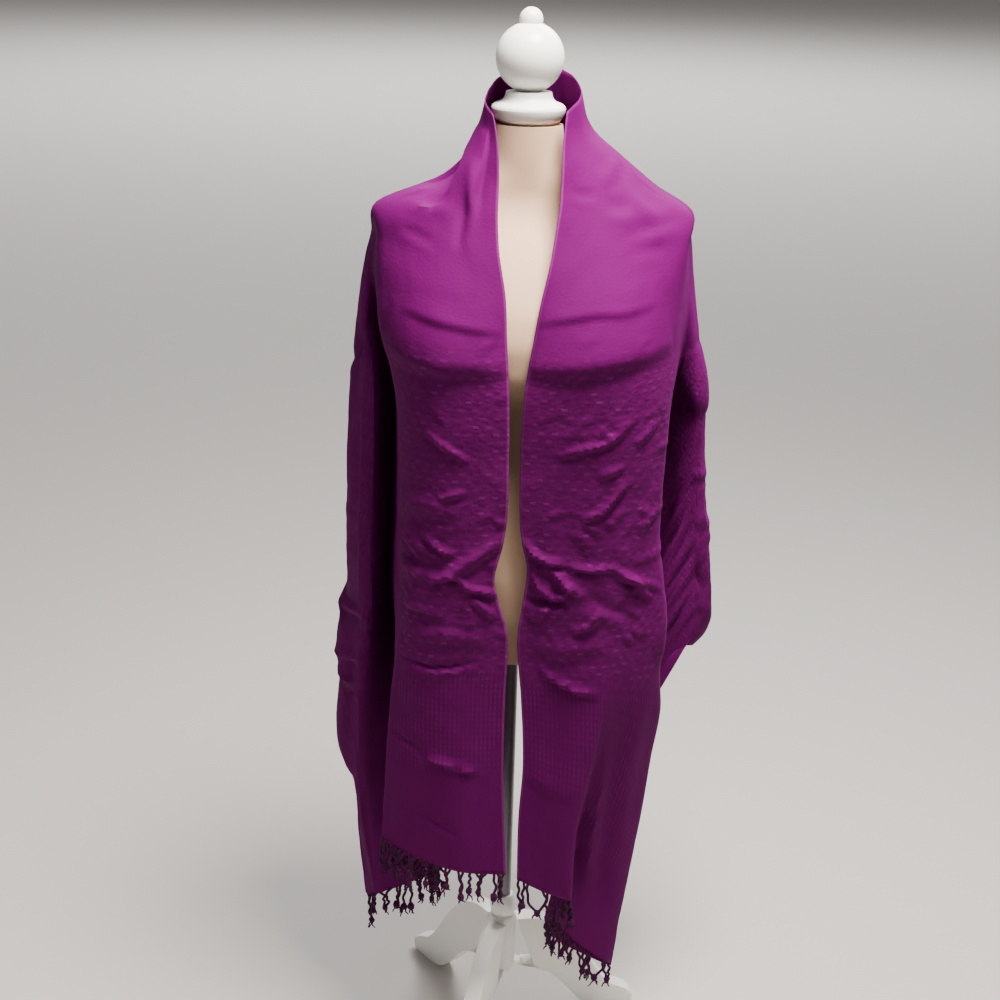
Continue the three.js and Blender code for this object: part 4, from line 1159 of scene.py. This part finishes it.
declare(scarf, "cloth", *CLOTH_NODES)
declare(fringe_left, "fringe", "fringe_front_left", "fringe_inner_left", "fringe_outer_left")
declare(fringe_right, "fringe", "fringe_front_right", "fringe_inner_right", "fringe_outer_right")
declare(torso, "form_cover", "form_torso")
declare(cap, "painted_wood", "neck_cap")
declare(finial, "painted_wood", "finial")
declare(pole, "pole", "stand_pole")
declare(hub, "painted_wood", "stand_hub")
for i, leg in enumerate(legs):
    declare(leg, "painted_wood", f"stand_leg_{i + 1}")

# %% [markdown]
# ## Studio
# A pale floor and soft light. The main light hangs high above and a little in front, so the chest
# is bright and the lower half falls into shade. A wide one under the ceiling opens the shadows,
# and two behind light the back and the floor that serves as a backdrop.

# %% Floor and light
floor_shape = bmesh.new()
bmesh.ops.create_grid(floor_shape, x_segments=1, y_segments=1, size=150)
floor = new_object("floor", floor_shape)
floor.data.materials.append(plain_material("matt grey-white paper", "c9c4bf", 0.9, 0.2))


def soft_light(name, where, target, size, power, tint="ffffff"):
    """A round area light, turned to its target."""
    lamp = bpy.data.lights.new(name, "AREA")
    lamp.shape = "DISK"
    lamp.size = size
    lamp.energy = power
    lamp.color = colour(tint)[:3]
    made = bpy.data.objects.new(name, lamp)
    made.location = where
    made.rotation_euler = (Vector(target) - Vector(where)).to_track_quat("-Z", "Y").to_euler()
    bpy.context.scene.collection.objects.link(made)


soft_light("key", (0.22, -0.31, 2.16), (0, -0.1, 0.9), 0.5, 77, "fff8f2")
soft_light("ceiling", (0.1, -0.8, 3.1), (0.05, -0.1, 0.8), 2.2, 14, "fbfaff")
soft_light("back light", (1.0, 1.3, 2.5), (0, 0, 0.9), 0.9, 44)
soft_light("backdrop light", (0, 14, 10), (0, 14, 0), 10.0, 2700)

world = bpy.data.worlds.new("studio")
bpy.context.scene.world = world
world.use_nodes = True
world.node_tree.nodes["Background"].inputs["Color"].default_value = colour("f4f4f6")
world.node_tree.nodes["Background"].inputs["Strength"].default_value = 0.25

# %% [markdown]
# The camera stands a little above the shoulders and looks down at the cloth, slightly out of
# level.

# %% Camera
PITCH = math.radians(20.2)
ROLL = math.radians(1.6)
STANDPOINT = (-0.0345, -1.7852, 1.434)
lens = bpy.data.cameras.new("camera")
lens.lens = 55.3
lens.sensor_width = 36
lens.clip_end = 200
camera = bpy.data.objects.new("camera", lens)
bpy.context.scene.collection.objects.link(camera)
forward = Vector((0, math.cos(PITCH), -math.sin(PITCH)))
right = Vector((1, 0, 0))
up = right.cross(forward)
across_axis = right * math.cos(ROLL) + up * math.sin(ROLL)
upright_axis = up * math.cos(ROLL) - right * math.sin(ROLL)
turn = Matrix((across_axis, upright_axis, -forward)).transposed()
camera.matrix_world = Matrix.Translation(STANDPOINT) @ turn.to_4x4()
bpy.context.scene.camera = camera
